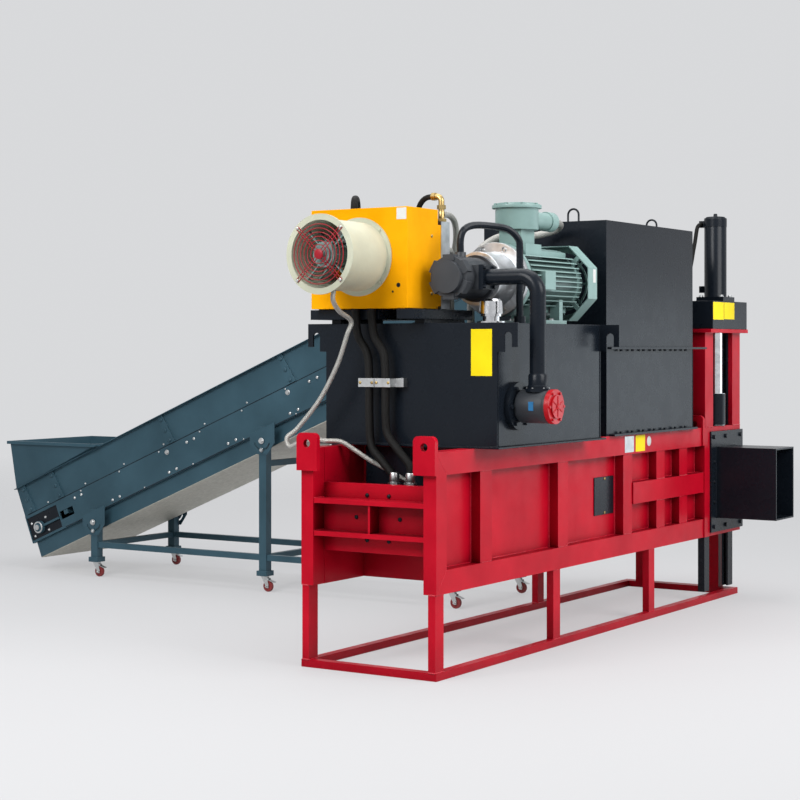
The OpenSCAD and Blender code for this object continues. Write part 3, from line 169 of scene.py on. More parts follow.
def edge_mask(tree, radius, low, high):
    """Near 1 close to sharp edges, from the rounded normal's departure from the flat one."""
    rounded = add(tree, "ShaderNodeBevel", samples=4, Radius=radius)
    flat = add(tree, "ShaderNodeNewGeometry")
    dot = add(tree, "ShaderNodeVectorMath", operation="DOT_PRODUCT")
    tree.links.new(rounded.outputs["Normal"], dot.inputs[0])
    tree.links.new(flat.outputs["Normal"], dot.inputs[1])
    return spread(tree, dot.outputs["Value"], high, low, 0.0, 1.0)


def up_mask(tree, low, high):
    """Near 1 on faces that look up, where dust settles."""
    face = add(tree, "ShaderNodeNewGeometry")
    split = add(tree, "ShaderNodeSeparateXYZ")
    tree.links.new(face.outputs["Normal"], split.inputs["Vector"])
    return spread(tree, split.outputs["Z"], low, high, 0.0, 1.0)


def product(tree, a, b):
    made = add(tree, "ShaderNodeMath", operation="MULTIPLY")
    tree.links.new(a, made.inputs[0])
    tree.links.new(b, made.inputs[1])
    return made.outputs[0]


def paint(name, colour, rough, coat=0.0, peel=0.25, dust=0.0, wear=0.12, shine=0.25, vary=1.0, hollow_shade=0.0,
          reach=0.45):
    """Sprayed or plain coat: cloudy tone, orange peel, dust on top, pale worn edges, and painted shade that
    darkens the colour in recesses and corners.
    """
    material, tree, shader = new_material(name)
    dark = tuple(c * (1 - 0.2 * vary) for c in colour)
    light = tuple(min(1.0, c * (1 + 0.12 * vary) + 0.004 * vary) for c in colour)
    worn = tuple(min(1.0, c * 1.5 + 0.05) for c in colour)
    dusty = tuple(0.72 * c + 0.28 * 0.45 for c in colour)
    cloud = spread(tree, noise(tree, 2.6, 6.0), 0.3, 0.7, 0.0, 1.0)
    tone = mixed(tree, cloud, dark, light)
    rubbed = spread(tree, noise(tree, 18.0), 0.42, 0.62, 0.0, wear)
    tone = mixed(tree, product(tree, edge_mask(tree, 0.004, 0.55, 0.97), rubbed), tone, worn)
    if dust:
        settled = spread(tree, noise(tree, 7.0, 8.0), 0.35, 0.75, 0.0, dust)
        tone = mixed(tree, product(tree, up_mask(tree, 0.6, 1.0), settled), tone, dusty)
    # Painted shade: the colour darkens towards near black in recesses and corners, from ambient occlusion
    # within reach.
    if hollow_shade:
        shade = add(tree, "ShaderNodeAmbientOcclusion", samples=6, Distance=reach)
        painted_shade = spread(tree, shade.outputs["AO"], 0.12, 0.68, hollow_shade, 0.0)
        tone = mixed(tree, painted_shade, tone, tuple(c * 0.06 for c in colour))
    tree.links.new(tone, shader.inputs["Base Color"])
    smear = spread(tree, noise(tree, 11.0, 8.0), 0.3, 0.7, rough - 0.06 * vary, rough + 0.09 * vary)
    tree.links.new(smear, shader.inputs["Roughness"])
    shader.inputs["Specular IOR Level"].default_value = shine
    shader.inputs["Coat Weight"].default_value = coat
    shader.inputs["Coat Roughness"].default_value = 0.12
    bumped(tree, shader, noise(tree, 420.0, 2.0), peel, 0.0006)
    return material


def bare_metal(name, colour, rough, grain=(4.0, 90.0, 90.0), bite=0.3):
    """Bare or plated metal with a drawn grain and cloudy patches."""
    material, tree, shader = new_material(name)
    place = add(tree, "ShaderNodeTexCoord")
    stretch = add(tree, "ShaderNodeMapping")
    stretch.inputs["Scale"].default_value = grain
    tree.links.new(place.outputs["Object"], stretch.inputs["Vector"])
    lines = add(tree, "ShaderNodeTexNoise", Scale=6.0, Detail=5.0, Roughness=0.6)
    tree.links.new(stretch.outputs["Vector"], lines.inputs["Vector"])
    cloud = spread(tree, noise(tree, 22.0, 5.0), 0.3, 0.7, 0.0, 1.0)
    tone = mixed(tree, cloud, tuple(c * 0.72 for c in colour), colour)
    tree.links.new(tone, shader.inputs["Base Color"])
    smear = spread(tree, lines.outputs["Fac"], 0.3, 0.7, rough - 0.08, rough + 0.12)
    tree.links.new(smear, shader.inputs["Roughness"])
    shader.inputs["Metallic"].default_value = 1.0
    bumped(tree, shader, lines.outputs["Fac"], bite, 0.0004)
    return material


def spangled(name, colour):
    """Galvanised sheet with its crystal spangle."""
    material, tree, shader = new_material(name)
    place = add(tree, "ShaderNodeTexCoord")
    cells = add(tree, "ShaderNodeTexVoronoi", Scale=55.0)
    tree.links.new(place.outputs["Object"], cells.inputs["Vector"])
    split = add(tree, "ShaderNodeSeparateColor")
    tree.links.new(cells.outputs["Color"], split.inputs["Color"])
    tone = mixed(tree, split.outputs["Red"], tuple(c * 0.82 for c in colour), colour)
    tree.links.new(tone, shader.inputs["Base Color"])
    tree.links.new(spread(tree, split.outputs["Green"], 0, 1, 0.42, 0.62), shader.inputs["Roughness"])
    shader.inputs["Metallic"].default_value = 0.55
    bumped(tree, shader, noise(tree, 30.0), 0.15, 0.001)
    return material


def rubber(name, colour, rough, scale=260.0, bite=0.4):
    """Moulded rubber with a fine grain."""
    material, tree, shader = new_material(name)
    cloud = spread(tree, noise(tree, 9.0, 6.0), 0.3, 0.7, 0.0, 1.0)
    tone = mixed(tree, cloud, tuple(c * 0.7 for c in colour), tuple(c * 1.5 for c in colour))
    tree.links.new(tone, shader.inputs["Base Color"])
    smear = spread(tree, noise(tree, 40.0), 0.3, 0.7, rough - 0.08, rough + 0.08)
    tree.links.new(smear, shader.inputs["Roughness"])
    bumped(tree, shader, noise(tree, scale, 3.0), bite, 0.0006)
    return material


def braid(name, dark, light, rough, metal, shine=0.5, across=14.0, along=170.0):
    """Crossed strands round a hose, from the tube's own map: u round it, v along it in metres."""
    material, tree, shader = new_material(name)
    place = add(tree, "ShaderNodeTexCoord")
    split = add(tree, "ShaderNodeSeparateXYZ")
    tree.links.new(place.outputs["UV"], split.inputs["Vector"])
    waves = []
    for sign in (1.0, -1.0):
        turn = add(tree, "ShaderNodeMath", operation="MULTIPLY")
        turn.inputs[1].default_value = sign * across
        tree.links.new(split.outputs["X"], turn.inputs[0])
        run = add(tree, "ShaderNodeMath", operation="MULTIPLY_ADD")
        run.inputs[1].default_value = along
        tree.links.new(split.outputs["Y"], run.inputs[0])
        tree.links.new(turn.outputs[0], run.inputs[2])
        folded = add(tree, "ShaderNodeMath", operation="PINGPONG")
        folded.inputs[1].default_value = 0.5
        tree.links.new(run.outputs[0], folded.inputs[0])
        waves.append(spread(tree, folded.outputs[0], 0.0, 0.5, 0.0, 1.0))
    high = add(tree, "ShaderNodeMath", operation="MAXIMUM")
    tree.links.new(waves[0], high.inputs[0])
    tree.links.new(waves[1], high.inputs[1])
    strand = spread(tree, high.outputs[0], 0.35, 0.95, 0.0, 1.0)
    tree.links.new(mixed(tree, strand, dark, light), shader.inputs["Base Color"])
    smear = spread(tree, noise(tree, 60.0), 0.3, 0.7, rough - 0.06, rough + 0.1)
    tree.links.new(smear, shader.inputs["Roughness"])
    shader.inputs["Metallic"].default_value = metal
    shader.inputs["Specular IOR Level"].default_value = shine
    bumped(tree, shader, high.outputs[0], 0.6, 0.0012)
    return material


MATERIALS = {
    # Red paint, darkened in recesses and corners as painted shade.
    "red_paint": paint("red_paint", (0.48, 0.0006, 0.014), 0.34, coat=0.03, peel=0.16, dust=0.06, shine=0.09,
                       hollow_shade=0.92),
    # Lighter, glossier red with strong edge wear for the weld beads: a painted highlight along the beads.
    "red_weld_highlight": paint("red_weld_highlight", (0.56, 0.012, 0.032), 0.24, coat=0.2, peel=0.3, wear=0.4, shine=0.5),
    "black_paint": paint("black_paint", (0.0065, 0.0095, 0.0145), 0.27, peel=0.08, dust=0.06, shine=0.16,
                         vary=0.3),
    "slate_paint": paint("slate_paint", (0.036, 0.084, 0.113), 0.42, peel=0.25, dust=0.1, shine=0.2),
    # Green paint, darkened between the motor fins and in other recesses as painted shade.
    "green_paint": paint("green_paint", (0.23, 0.355, 0.335), 0.40, coat=0.08, peel=0.3, dust=0.08, shine=0.3,
                         hollow_shade=0.7, reach=0.06),
    "yellow_paint": paint("yellow_paint", (0.93, 0.38, 0.0004), 0.40, peel=0.2, wear=0.06, shine=0.03),
    "pale_paint": paint("pale_paint", (0.52, 0.53, 0.41), 0.42, peel=0.3, wear=0.1, shine=0.3),
    "plate_blue": paint("plate_blue", (0.02, 0.16, 0.36), 0.45, peel=0.1, wear=0.1),
    "red_cap": paint("red_cap", (0.46, 0.004, 0.010), 0.3, coat=0.15, shine=0.2),
    "guard_red": paint("guard_red", (0.30, 0.006, 0.016), 0.38, wear=0.3),
    "grey_iron": paint("grey_iron", (0.030, 0.034, 0.040), 0.45, peel=0.8, wear=0.3, shine=0.3),
    "wheel_red": rubber("wheel_red", (0.20, 0.02, 0.02), 0.5),
    "chrome_rod": bare_metal("chrome_rod", (0.80, 0.81, 0.83), 0.14, (80.0, 80.0, 3.0), 0.05),
    "bare_aluminium": bare_metal("bare_aluminium", (0.66, 0.68, 0.70), 0.36, (60.0, 60.0, 60.0), 0.5),
    "zinc_steel": bare_metal("zinc_steel", (0.62, 0.63, 0.63), 0.34, (50.0, 50.0, 50.0), 0.3),
    "brass": bare_metal("brass", (0.50, 0.36, 0.15), 0.34, (50.0, 50.0, 50.0), 0.2),
    "galvanised": spangled("galvanised", (0.50, 0.49, 0.43)),
    "hose_rubber": braid("hose_rubber", (0.003, 0.003, 0.003), (0.015, 0.0145, 0.014), 0.5, 0.0, shine=0.12),
    "steel_braid": braid("steel_braid", (0.14, 0.14, 0.13), (0.58, 0.57, 0.53), 0.38, 0.45),
    "belt_rubber": rubber("belt_rubber", (0.02, 0.023, 0.024), 0.6, 120.0, 0.7),
    "plate_yellow": paint("plate_yellow", (0.90, 0.70, 0.006), 0.45, peel=0.1, wear=0.15, shine=0.1),
    "plate_white": paint("plate_white", (0.66, 0.66, 0.64), 0.45, peel=0.1, wear=0.15),
}

# How wide the hard edges of a solid are rounded
EDGE_WIDTHS = {
    "base_frame": 3.5, "press_sides": 2.5, "press_body": 2.0, "gate_tower": 2.0, "gate_head": 3.0,
    "oil_tank": 1.6, "feed_box_lower": 1.6, "feed_box_upper": 2.2, "bag_chute": 1.5, "inspection_cover": 1.0,
    "cooler_housing": 2.0, "conveyor_stand": 4.0, "conveyor_frame": 1.2, "conveyor_skirts": 1.0,
    "conveyor_hopper": 1.0, "hose_clamp": 2.0, "pump": 2.5, "motor_cowl": 2.0, "terminal_box": 2.5,
    "gate_cylinder": 2.0, "fan_duct": 1.2, "bell_housing": 2.0,
}


def soften(piece, width):
    """Rounds the hard edges of a solid so that they catch the light."""
    weld = piece.modifiers.new("weld", "WELD")
    weld.merge_threshold = 1e-5
    flatten = piece.modifiers.new("flatten", "DECIMATE")
    flatten.decimate_type = "DISSOLVE"
    flatten.angle_limit = math.radians(0.6)
    edges = piece.modifiers.new("edges", "BEVEL")
    edges.width = width
    edges.segments = 2
    edges.limit_method = "ANGLE"
    edges.angle_limit = math.radians(40)
    edges.use_clamp_overlap = True
    edges.harden_normals = False


def dress_nodes():
    """Gives every solid the finish of its slot, and soft edges where they show."""
    for name, piece in NODES.items():
        piece.data.materials.clear()
        piece.data.materials.append(MATERIALS[SLOT_OF[name]])
        if name in EDGE_WIDTHS:
            soften(piece, EDGE_WIDTHS[name] * MM)


dress_nodes()


# Mesh helpers

def keep(name, shape, material, body="press", smooth=True):
    """Turns a bmesh into a piece of the machine that rides on a body."""
    data = bpy.data.meshes.new(name)
    bmesh.ops.recalc_face_normals(shape, faces=shape.faces)
    shape.to_mesh(data)
    shape.free()
    data.materials.append(MATERIALS[material])
    if smooth:
        data.shade_smooth()
        data.set_sharp_from_angle(angle=math.radians(38))
    piece = bpy.data.objects.new(name, data)
    bpy.context.scene.collection.objects.link(piece)
    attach(piece, body)
    return piece


def seat(point, direction=None):
    """Place at a point, with +Z turned to a direction if one is given."""
    place = Matrix.Translation(point)
    if direction is None:
        return place
    return place @ direction.to_track_quat("Z", "Y").to_matrix().to_4x4()


def angles(count, start=0.0):
    """Even angles round a circle."""
    return [start + 2 * math.pi * k / count for k in range(count)]


def full_turn(count):
    """Even angles round a circle, back to the first."""
    return angles(count) + [2 * math.pi]


def ring_stack(shape, place, rings, sides, hoop=False):
    """Closed solid of revolution, or an open hoop: rings are (radius, height) pairs along +Z of place."""
    loops = [
        [shape.verts.new(place @ (MM * Vector((radius * math.cos(a), radius * math.sin(a), height))))
         for a in angles(sides)]
        for radius, height in rings
    ]
    for low, high in zip(loops, loops[1:] + loops[:1] if hoop else loops[1:]):
        for k in range(sides):
            shape.faces.new((low[k], low[(k + 1) % sides], high[(k + 1) % sides], high[k]))
    if not hoop:
        shape.faces.new(list(reversed(loops[0])))
        shape.faces.new(loops[-1])


def turned(name, place, rings, sides, material, body="press"):
    """A piece that is one solid of revolution."""
    shape = bmesh.new()
    ring_stack(shape, place, rings, sides)
    keep(name, shape, material, body)


def hex_bolt(shape, point, direction, d):
    """Washer and chamfered hexagon head seated on a face."""
    place, r = seat(point, direction), d / 2
    ring_stack(shape, place, [(2.1 * r, -0.3), (2.1 * r, 0.3 * r), (2.0 * r, 0.36 * r)], 20)
    ring_stack(shape, place, [(1.75 * r, 0.36 * r), (1.75 * r, 1.35 * r), (1.45 * r, 1.6 * r)], 6)


def button_screw(shape, point, direction, d):
    """Low domed screw head with a socket."""
    r = d / 2
    rings = [(r, -0.2), (r, 0.25 * r), (0.85 * r, 0.5 * r), (0.5 * r, 0.64 * r), (0.42 * r, 0.5 * r)]
    ring_stack(shape, seat(point, direction), rings, 16)


def block(shape, low, high, place):
    """Block between two corners, which place turns into points of the part."""
    corners = [
        shape.verts.new(place(x, y, z))
        for x in (low[0], high[0]) for y in (low[1], high[1]) for z in (low[2], high[2])
    ]
    for face in ((0, 1, 3, 2), (4, 6, 7, 5), (0, 4, 5, 1), (2, 3, 7, 6), (0, 2, 6, 4), (1, 5, 7, 3)):
        shape.faces.new([corners[i] for i in face])


def smooth_route(points, steps):
    """Smooth curve through the points, starting and ending on them."""
    last = len(points) - 1
    route = []
    for i in range(last):
        a, b, c, d = points[max(i - 1, 0)], points[i], points[i + 1], points[min(i + 2, last)]
        for k in range(steps):
            t = k / steps
            bend = (2 * a - 5 * b + 4 * c - d) * t**2 + (3 * b - a - 3 * c + d) * t**3
            route.append(0.5 * (2 * b + (c - a) * t + bend))
    route.append(points[last])
    return route


def even_route(route, step):
    """The same route in equal steps."""
    total = sum((b - a).length for a, b in zip(route, route[1:]))
    count = max(2, round(total / step))
    goal, walked, made = total / count, 0.0, [route[0].copy()]
    for a, b in zip(route, route[1:]):
        length = (b - a).length
        while len(made) <= count and walked + length >= goal * len(made) - 1e-9:
            made.append(a.lerp(b, (goal * len(made) - walked) / length))
        walked += length
    if len(made) == count:
        made.append(route[-1].copy())
    made[-1] = route[-1].copy()
    return made


def tube(shape, route, radius, sides, closed_ends=True):
    """Tube along a route in metres with a map: u round it and v along it. Returns its length."""
    uv = shape.loops.layers.uv.verify()
    heading = (route[1] - route[0]).normalized()
    side = heading.orthogonal().normalized()
    loops, walked = [], [0.0]
    for i, point in enumerate(route):
        ahead = (route[min(i + 1, len(route) - 1)] - route[max(i - 1, 0)]).normalized()
        side = (side - ahead * side.dot(ahead)).normalized()
        up = ahead.cross(side)
        r = (radius(i) if callable(radius) else radius) * MM
        loops.append([
            shape.verts.new(point + r * (math.cos(a) * side + math.sin(a) * up)) for a in angles(sides)
        ])
        if i:
            walked.append(walked[-1] + (point - route[i - 1]).length)
    for i, (low, high) in enumerate(zip(loops, loops[1:])):
        for k in range(sides):
            face = shape.faces.new((low[k], low[(k + 1) % sides], high[(k + 1) % sides], high[k]))
            for loop, (u, v) in zip(face.loops, ((k, i), (k + 1, i), (k + 1, i + 1), (k, i + 1))):
                loop[uv].uv = (u / sides, walked[v])
    if closed_ends:
        shape.faces.new(list(reversed(loops[0])))
        shape.faces.new(loops[-1])
    return walked[-1]


ROUTE_STEP, HOSE_SIDES = 14, 16


def hose_piece(name, points, d, material, ribs=0.0, pitch=6):
    """A hose or conduit held at both ends."""
    step = pitch / 2 if ribs else ROUTE_STEP
    route = even_route(smooth_route([at(*point) for point in points], 10), step * MM)
    shape = bmesh.new()
    length = tube(shape, route, lambda i: d / 2 - (ribs if i % 2 else 0.0), HOSE_SIDES)
    piece = keep(name, shape, material)
    return piece


# Camera, light and floor

PIXELS, FOCAL_PIXELS, HORIZON_PIXEL = 800, 1818, 348
SENSOR_W = 36
CAMERA_PLACE = (-7654.257, -4696.483, 1650)
CAMERA_HEADING = math.radians(32.675)

FLOOR_PLACE = (2000, 2000, -0.5)
FLOOR_TONE, FLOOR_GLOW, GLOW_SHARE = (0.56, 0.56, 0.568, 1), (0.80, 0.80, 0.815, 1), 0.5

# In metres from the middle of the floor
FLOOR_R, FLOOR_FADE = 30, (2.0, 17.0)

BACKDROP = (0.690, 0.697, 0.711, 1)
SKY_TONE, SKY_LOW, SKY_HIGH = (0.93, 0.96, 1.0, 1), 0.10, 0.72
SKY_BRIGHT_SIDE = (0.70, -0.68, 0.22)


def make_camera():
    data = bpy.data.cameras.new("camera")
    data.sensor_width = SENSOR_W
    data.lens = SENSOR_W * FOCAL_PIXELS / PIXELS
    data.shift_y = (HORIZON_PIXEL - PIXELS / 2) / PIXELS
    data.clip_end = 200
    camera = bpy.data.objects.new("camera", data)
    camera.location = at(*CAMERA_PLACE)
    camera.rotation_euler = (math.pi / 2, 0, CAMERA_HEADING - math.pi / 2)
    bpy.context.scene.collection.objects.link(camera)
    bpy.context.scene.camera = camera


def lamp(name, place, target, size, power, colour=(1, 1, 1)):
    """Soft box at a place, turned to a target."""
    data = bpy.data.lights.new(name, "AREA")
    data.shape = "RECTANGLE"
    data.size, data.size_y = size
    data.energy = power
    data.color = colour
    made = bpy.data.objects.new(name, data)
    made.location = place
    made.rotation_euler = (target - place).to_track_quat("-Z", "Y").to_euler()
    bpy.context.scene.collection.objects.link(made)


def shown_rays(tree):
    """1 for rays that show the backdrop: straight from the camera, in gloss or through glass."""
    rays = add(tree, "ShaderNodeLightPath")
    shown = rays.outputs["Is Camera Ray"]
    for kind in ("Is Glossy Ray", "Is Transmission Ray"):
        either = add(tree, "ShaderNodeMath", operation="MAXIMUM")
        tree.links.new(shown, either.inputs[0])
        tree.links.new(rays.outputs[kind], either.inputs[1])
        shown = either.outputs[0]
    return shown


def make_stage():
    """Pale floor round the machine that fades into the backdrop on every side."""
    shape = bmesh.new()
    bmesh.ops.create_circle(shape, cap_ends=True, segments=96, radius=FLOOR_R)
    data = bpy.data.meshes.new("floor")
    shape.to_mesh(data)
    shape.free()
    material, tree, shader = new_material("studio_floor")
    shader.inputs["Base Color"].default_value = FLOOR_TONE
    shader.inputs["Roughness"].default_value = 0.7
    shader.inputs["Specular IOR Level"].default_value = 0.2
    glow = add(tree, "ShaderNodeEmission", Color=FLOOR_GLOW, Strength=1.0)
    both = add(tree, "ShaderNodeMixShader")
    share = add(tree, "ShaderNodeMath", operation="MULTIPLY")
    share.inputs[1].default_value = GLOW_SHARE
    tree.links.new(shown_rays(tree), share.inputs[0])
    tree.links.new(share.outputs[0], both.inputs["Fac"])
    tree.links.new(shader.outputs[0], both.inputs[1])
    tree.links.new(glow.outputs[0], both.inputs[2])
    reach = add(tree, "ShaderNodeVectorMath", operation="LENGTH")
    tree.links.new(add(tree, "ShaderNodeTexCoord").outputs["Object"], reach.inputs[0])
    faded = add(tree, "ShaderNodeMixShader")
    tree.links.new(spread(tree, reach.outputs["Value"], *FLOOR_FADE, 0.0, 1.0), faded.inputs["Fac"])
    tree.links.new(both.outputs[0], faded.inputs[1])
    tree.links.new(add(tree, "ShaderNodeBsdfTransparent").outputs[0], faded.inputs[2])
    tree.links.new(faded.outputs[0], tree.nodes["Material Output"].inputs["Surface"])
    data.materials.append(material)
    floor = bpy.data.objects.new("floor", data)
    floor.location = at(*FLOOR_PLACE)
    bpy.context.scene.collection.objects.link(floor)


def make_world():
    """Soft sky, brighter on the chute side than at the ram end, behind a plain pale backdrop."""
    world = bpy.data.worlds.new("studio")
    world.use_nodes = True
    tree = world.node_tree
    sky = tree.nodes["Background"]
    sky.inputs["Color"].default_value = SKY_TONE
    place = add(tree, "ShaderNodeTexCoord")
    dot = add(tree, "ShaderNodeVectorMath", operation="DOT_PRODUCT")
    dot.inputs[1].default_value = SKY_BRIGHT_SIDE
    tree.links.new(place.outputs["Generated"], dot.inputs[0])
    tree.links.new(spread(tree, dot.outputs["Value"], -0.9, 1.0, SKY_LOW, SKY_HIGH), sky.inputs["Strength"])
    backdrop = add(tree, "ShaderNodeBackground", Color=BACKDROP, Strength=1.0)
    both = add(tree, "ShaderNodeMixShader")
    tree.links.new(shown_rays(tree), both.inputs["Fac"])
    tree.links.new(sky.outputs[0], both.inputs[1])
    tree.links.new(backdrop.outputs[0], both.inputs[2])
    tree.links.new(both.outputs[0], tree.nodes["World Output"].inputs["Surface"])
    bpy.context.scene.world = world


def make_light():
    aim = at(1900, 500, 1100)
    lamp("key", at(1000, -6500, 5200), aim, (5.0, 4.0), 470)
    lamp("sheen", at(9500, -6200, 1150), at(2600, 0, 1150), (7.0, 2.1), 74, (0.80, 0.92, 1.0))
    lamp("top", at(1800, 1200, 7500), aim, (7.0, 6.0), 320)
    lamp("edge", at(-6000, 1600, 5800), at(1200, 700, 1300), (4.0, 4.0), 540)


make_camera()
make_stage()
make_world()
make_light()
bpy.context.scene.view_settings.view_transform = "Standard"


# Hoses and conduits, on the routes of the solids or close to them

HOSE_X, HOSE_YS = TANK_X - 65, (516, 618)
FOOT_YS = (360, 460)
RAM_PORT_Z = RAM_Z + 150
CLAMP_Z, CLAMP_H = 1445, 46
HOSE_D, GATE_HOSE_D, COOLER_HOSE_D, RETURN_D, VENT_D = 44, 26, 34, 30, 42
FAN_CONDUIT_D, MOTOR_CONDUIT_D = 26, 44


def make_ram_hoses():
    """Two hoses from the ram cylinder's ports up through the clamp, with their end fittings."""
    made = []
    for i, (y, foot_y) in enumerate(zip(HOSE_YS, FOOT_YS)):
        foot_z = RAM_PORT_Z + 60 * (1 - i)
        made.append(hose_piece(f"ram_hose_{i + 1}", [
            (HOSE_X, foot_y, foot_z), (HOSE_X, foot_y + 6, foot_z + 50),
            (HOSE_X - 6, foot_y + 70, foot_z + 125), (HOSE_X, y - 16, foot_z + 205),
            (HOSE_X, y - 2, CLAMP_Z - 160), (HOSE_X, y, CLAMP_Z + CLAMP_H + 30),
            (HOSE_X, y + 14, CLAMP_Z + 180), (HOSE_X - 4, y + 66, SLAB_Z - 90),
            (HOSE_X - 4, y + 82, SLAB_Z + 10), (HOSE_X - 4, y + 82, COOLER_Z),
        ], HOSE_D, "hose_rubber"))
    shape = bmesh.new()
    for y in FOOT_YS:
        place = seat(at(HOSE_X, y, RAM_PORT_Z))
        ring_stack(shape, place, [(30, 0), (30, 18), (24, 20), (26, 24), (26, 66), (23.5, 70)], 24)
        ring_stack(shape, place, [(34, 2), (34, 16), (31, 18)], 6)
    keep("hose_ferrules", shape, "zinc_steel")
    return made[0]


def make_gate_hose():
    """Hose from the top of the gate cylinder down behind the tower."""
    hose_piece("gate_hose", [
        (GATE_X - 22, GATE_Y + 90, BARREL_TOP - 38), (GATE_X - 66, GATE_Y + 100, BARREL_TOP - 62),
        (GATE_X - 92, GATE_Y + 112, BARREL_TOP - 190), (GATE_X - 150, GATE_Y + 140, BARREL_TOP - 420),
        (GATE_X - 260, GATE_Y + 230, HEAD_Z + 60), (GATE_X - 380, GATE_Y + 330, 1500),
        (GATE_X - 400, GATE_Y + 330, BODY_TOP + 200), (GATE_X - 400, GATE_Y + 330, BODY_TOP),
    ], GATE_HOSE_D, "hose_rubber")


def make_cooler_hoses():
    """Two braided hoses from the cooler core to the tank, and the fittings on the core's ports."""
    x, y, z = PORT_X, COOLER_Y, PORT_Z
    made = hose_piece("cooler_hose_1", [
        (x + 10, y + 23, z + 40), (x + 90, y + 30, z + 42), (x + 200, y + 60, z + 10),
        (x + 280, y + 100, z - 80), (x + 320, y + 150, z - 220), (x + 330, y + 160, SLAB_TOP + 140),
        (x + 330, y + 160, TANK_TOP),
    ], COOLER_HOSE_D, "steel_braid")
    hose_piece("cooler_hose_2", [
        (CORE_X, y + 30, z - 150), (x + 120, y + 40, z - 150), (x + 200, y + 90, z - 190),
        (x + 250, y + 130, z - 300), (x + 260, y + 140, TANK_TOP),
    ], COOLER_HOSE_D, "steel_braid")
    shape = bmesh.new()
    for port_y, top in ((NEAR_PORT_Y, 60), (FAR_PORT_Y, 40)):
        place = seat(at(x, port_y, z))
        ring_stack(shape, place, [(22, 0), (22, 16), (17, 18), (17, top - 6), (14, top)], 24)
        ring_stack(shape, place, [(27, 2), (27, 16), (24, 18)], 6)
    keep("cooler_fittings", shape, "brass")
    return made


def make_conduits():
    """Ribbed conduits from the fan's gland to the ram cylinder and from the terminal box to the tank."""
    gland_x, gland_z = DUCT_X + 130, FAN_Z - DUCT_D / 2 - 8
    boss_x, boss_z = 420, RAM_Z + 110
    made = hose_piece("fan_conduit", [
        (gland_x, FAN_Y, gland_z), (gland_x, FAN_Y + 4, gland_z - 50),
        (DUCT_X + 200, FAN_Y + 14, SLAB_Z + 40), (SLAB_X - 50, FAN_Y + 10, SLAB_Z - 10),
        (SLAB_X - 60, FAN_Y + 28, TANK_TOP - 60), (SLAB_X - 50, TANK_Y1 - 180, TANK_TOP - 220),
        (SLAB_X - 50, TANK_Y1 - 70, TANK_TOP - 400), (SLAB_X - 70, TANK_Y1 + 60, BODY_TOP + 90),
        (SLAB_X - 90, TANK_Y1 + 118, BODY_TOP + 36), (SLAB_X - 90, TANK_Y1 + 100, BODY_TOP - 10),
        (SLAB_X - 90, TANK_Y1 + 40, BODY_TOP + 10), (SLAB_X - 90, BODY_W + 62, BODY_TOP + 31),
        (SLAB_X - 80, BODY_W - 10, BODY_TOP + 26), (SLAB_X - 60, BODY_W - 92, BODY_TOP + 22),
        (SLAB_X - 25, BODY_W - 152, BODY_TOP - 20), (SLAB_X + 20, BODY_MID + 190, BODY_TOP - 75),
        (SLAB_X + 80, BODY_MID + 110, BODY_TOP - 130), (boss_x, BODY_MID + 20, boss_z + 50),
        (boss_x, BODY_MID, boss_z),
    ], FAN_CONDUIT_D, "steel_braid", ribs=1.2, pitch=8)
    x, y, z = MOTOR_X + 650, MOTOR_Y, SHAFT_Z + 350
    hose_piece("motor_conduit", [
        (x, y, z), (x + 60, y, z), (x + 150, y + 30, z - 10), (x + 205, y + 100, z - 34),
        (x + 170, y + 190, z - 58), (x + 60, y + 240, z - 70), (x - 160, y + 280, z - 90),
        (x - 330, y + 320, z - 200), (x - 360, y + 330, z - 360), (x - 360, y + 330, TANK_TOP),
    ], MOTOR_CONDUIT_D, "steel_braid", ribs=1.6, pitch=10)
    return made


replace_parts(make_ram_hoses(), "hydraulic_hoses")
make_gate_hose()
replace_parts(make_cooler_hoses(), "cooler_hoses")
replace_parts(make_conduits(), "cable_conduits")


# Round wire guard on the fan duct

GUARD_X = DUCT_X - 6
GUARD_HUB_R, GUARD_RINGS, WIRE_R = 27, 7, 2.6
SPOKE_ASIDE = 8


def make_guard():
    """Wire rings on four double spokes round a hub, held by four screws."""
    def around(radius, a, aside=0, x=GUARD_X):
        return at(x, FAN_Y + radius * math.cos(a) - aside * math.sin(a),
                  FAN_Z + radius * math.sin(a) + aside * math.cos(a))

    shape, screws = bmesh.new(), bmesh.new()
    step = (DUCT_D / 2 - GUARD_HUB_R) / GUARD_RINGS
    for i in range(1, GUARD_RINGS):
        tube(shape, [around(GUARD_HUB_R + i * step, a) for a in full_turn(56)], WIRE_R, 8, closed_ends=False)
    for a in angles(4, math.pi / 4):
        for aside in (-SPOKE_ASIDE, SPOKE_ASIDE):
            start, end = (around(r, a, aside, GUARD_X + 4) for r in (GUARD_HUB_R - 6, RING_D / 2 - 12))
            tube(shape, [start.lerp(end, k / 6) for k in range(7)], WIRE_R, 8)
        hex_bolt(screws, around(RING_D / 2 - 17, a, x=GUARD_X - 1), LEFT, 7)
    hub = seat(at(GUARD_X, FAN_Y, FAN_Z), LEFT)
    ring_stack(shape, hub, [(GUARD_HUB_R, -3), (GUARD_HUB_R, 1), (22, 4), (12, 5.5)], 32)
    bmesh.ops.remove_doubles(shape, verts=shape.verts, dist=1e-6)
    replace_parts(keep("round_wire_guard", shape, "guard_red"), "fan_guard")
    keep("guard_screws", screws, "zinc_steel")


make_guard()


# Weld beads

BEAD_R, BEAD_PITCH = 4.2, 7.5
FEED_BEAD_R, MITRE_BEAD_R = 2.4, 1.6


def bead(shape, start, end, r=BEAD_R):
    """Rippled weld bead laid in a corner, with soft ends."""
    count = max(4, round((end - start).length / (BEAD_PITCH * MM)) * 2)

    def size(i):
        if i in (0, count):
            return 0.4 * r
        return r if i % 2 else 0.72 * r

    tube(shape, [start.lerp(end, k / count) for k in range(count + 1)], size, 6)


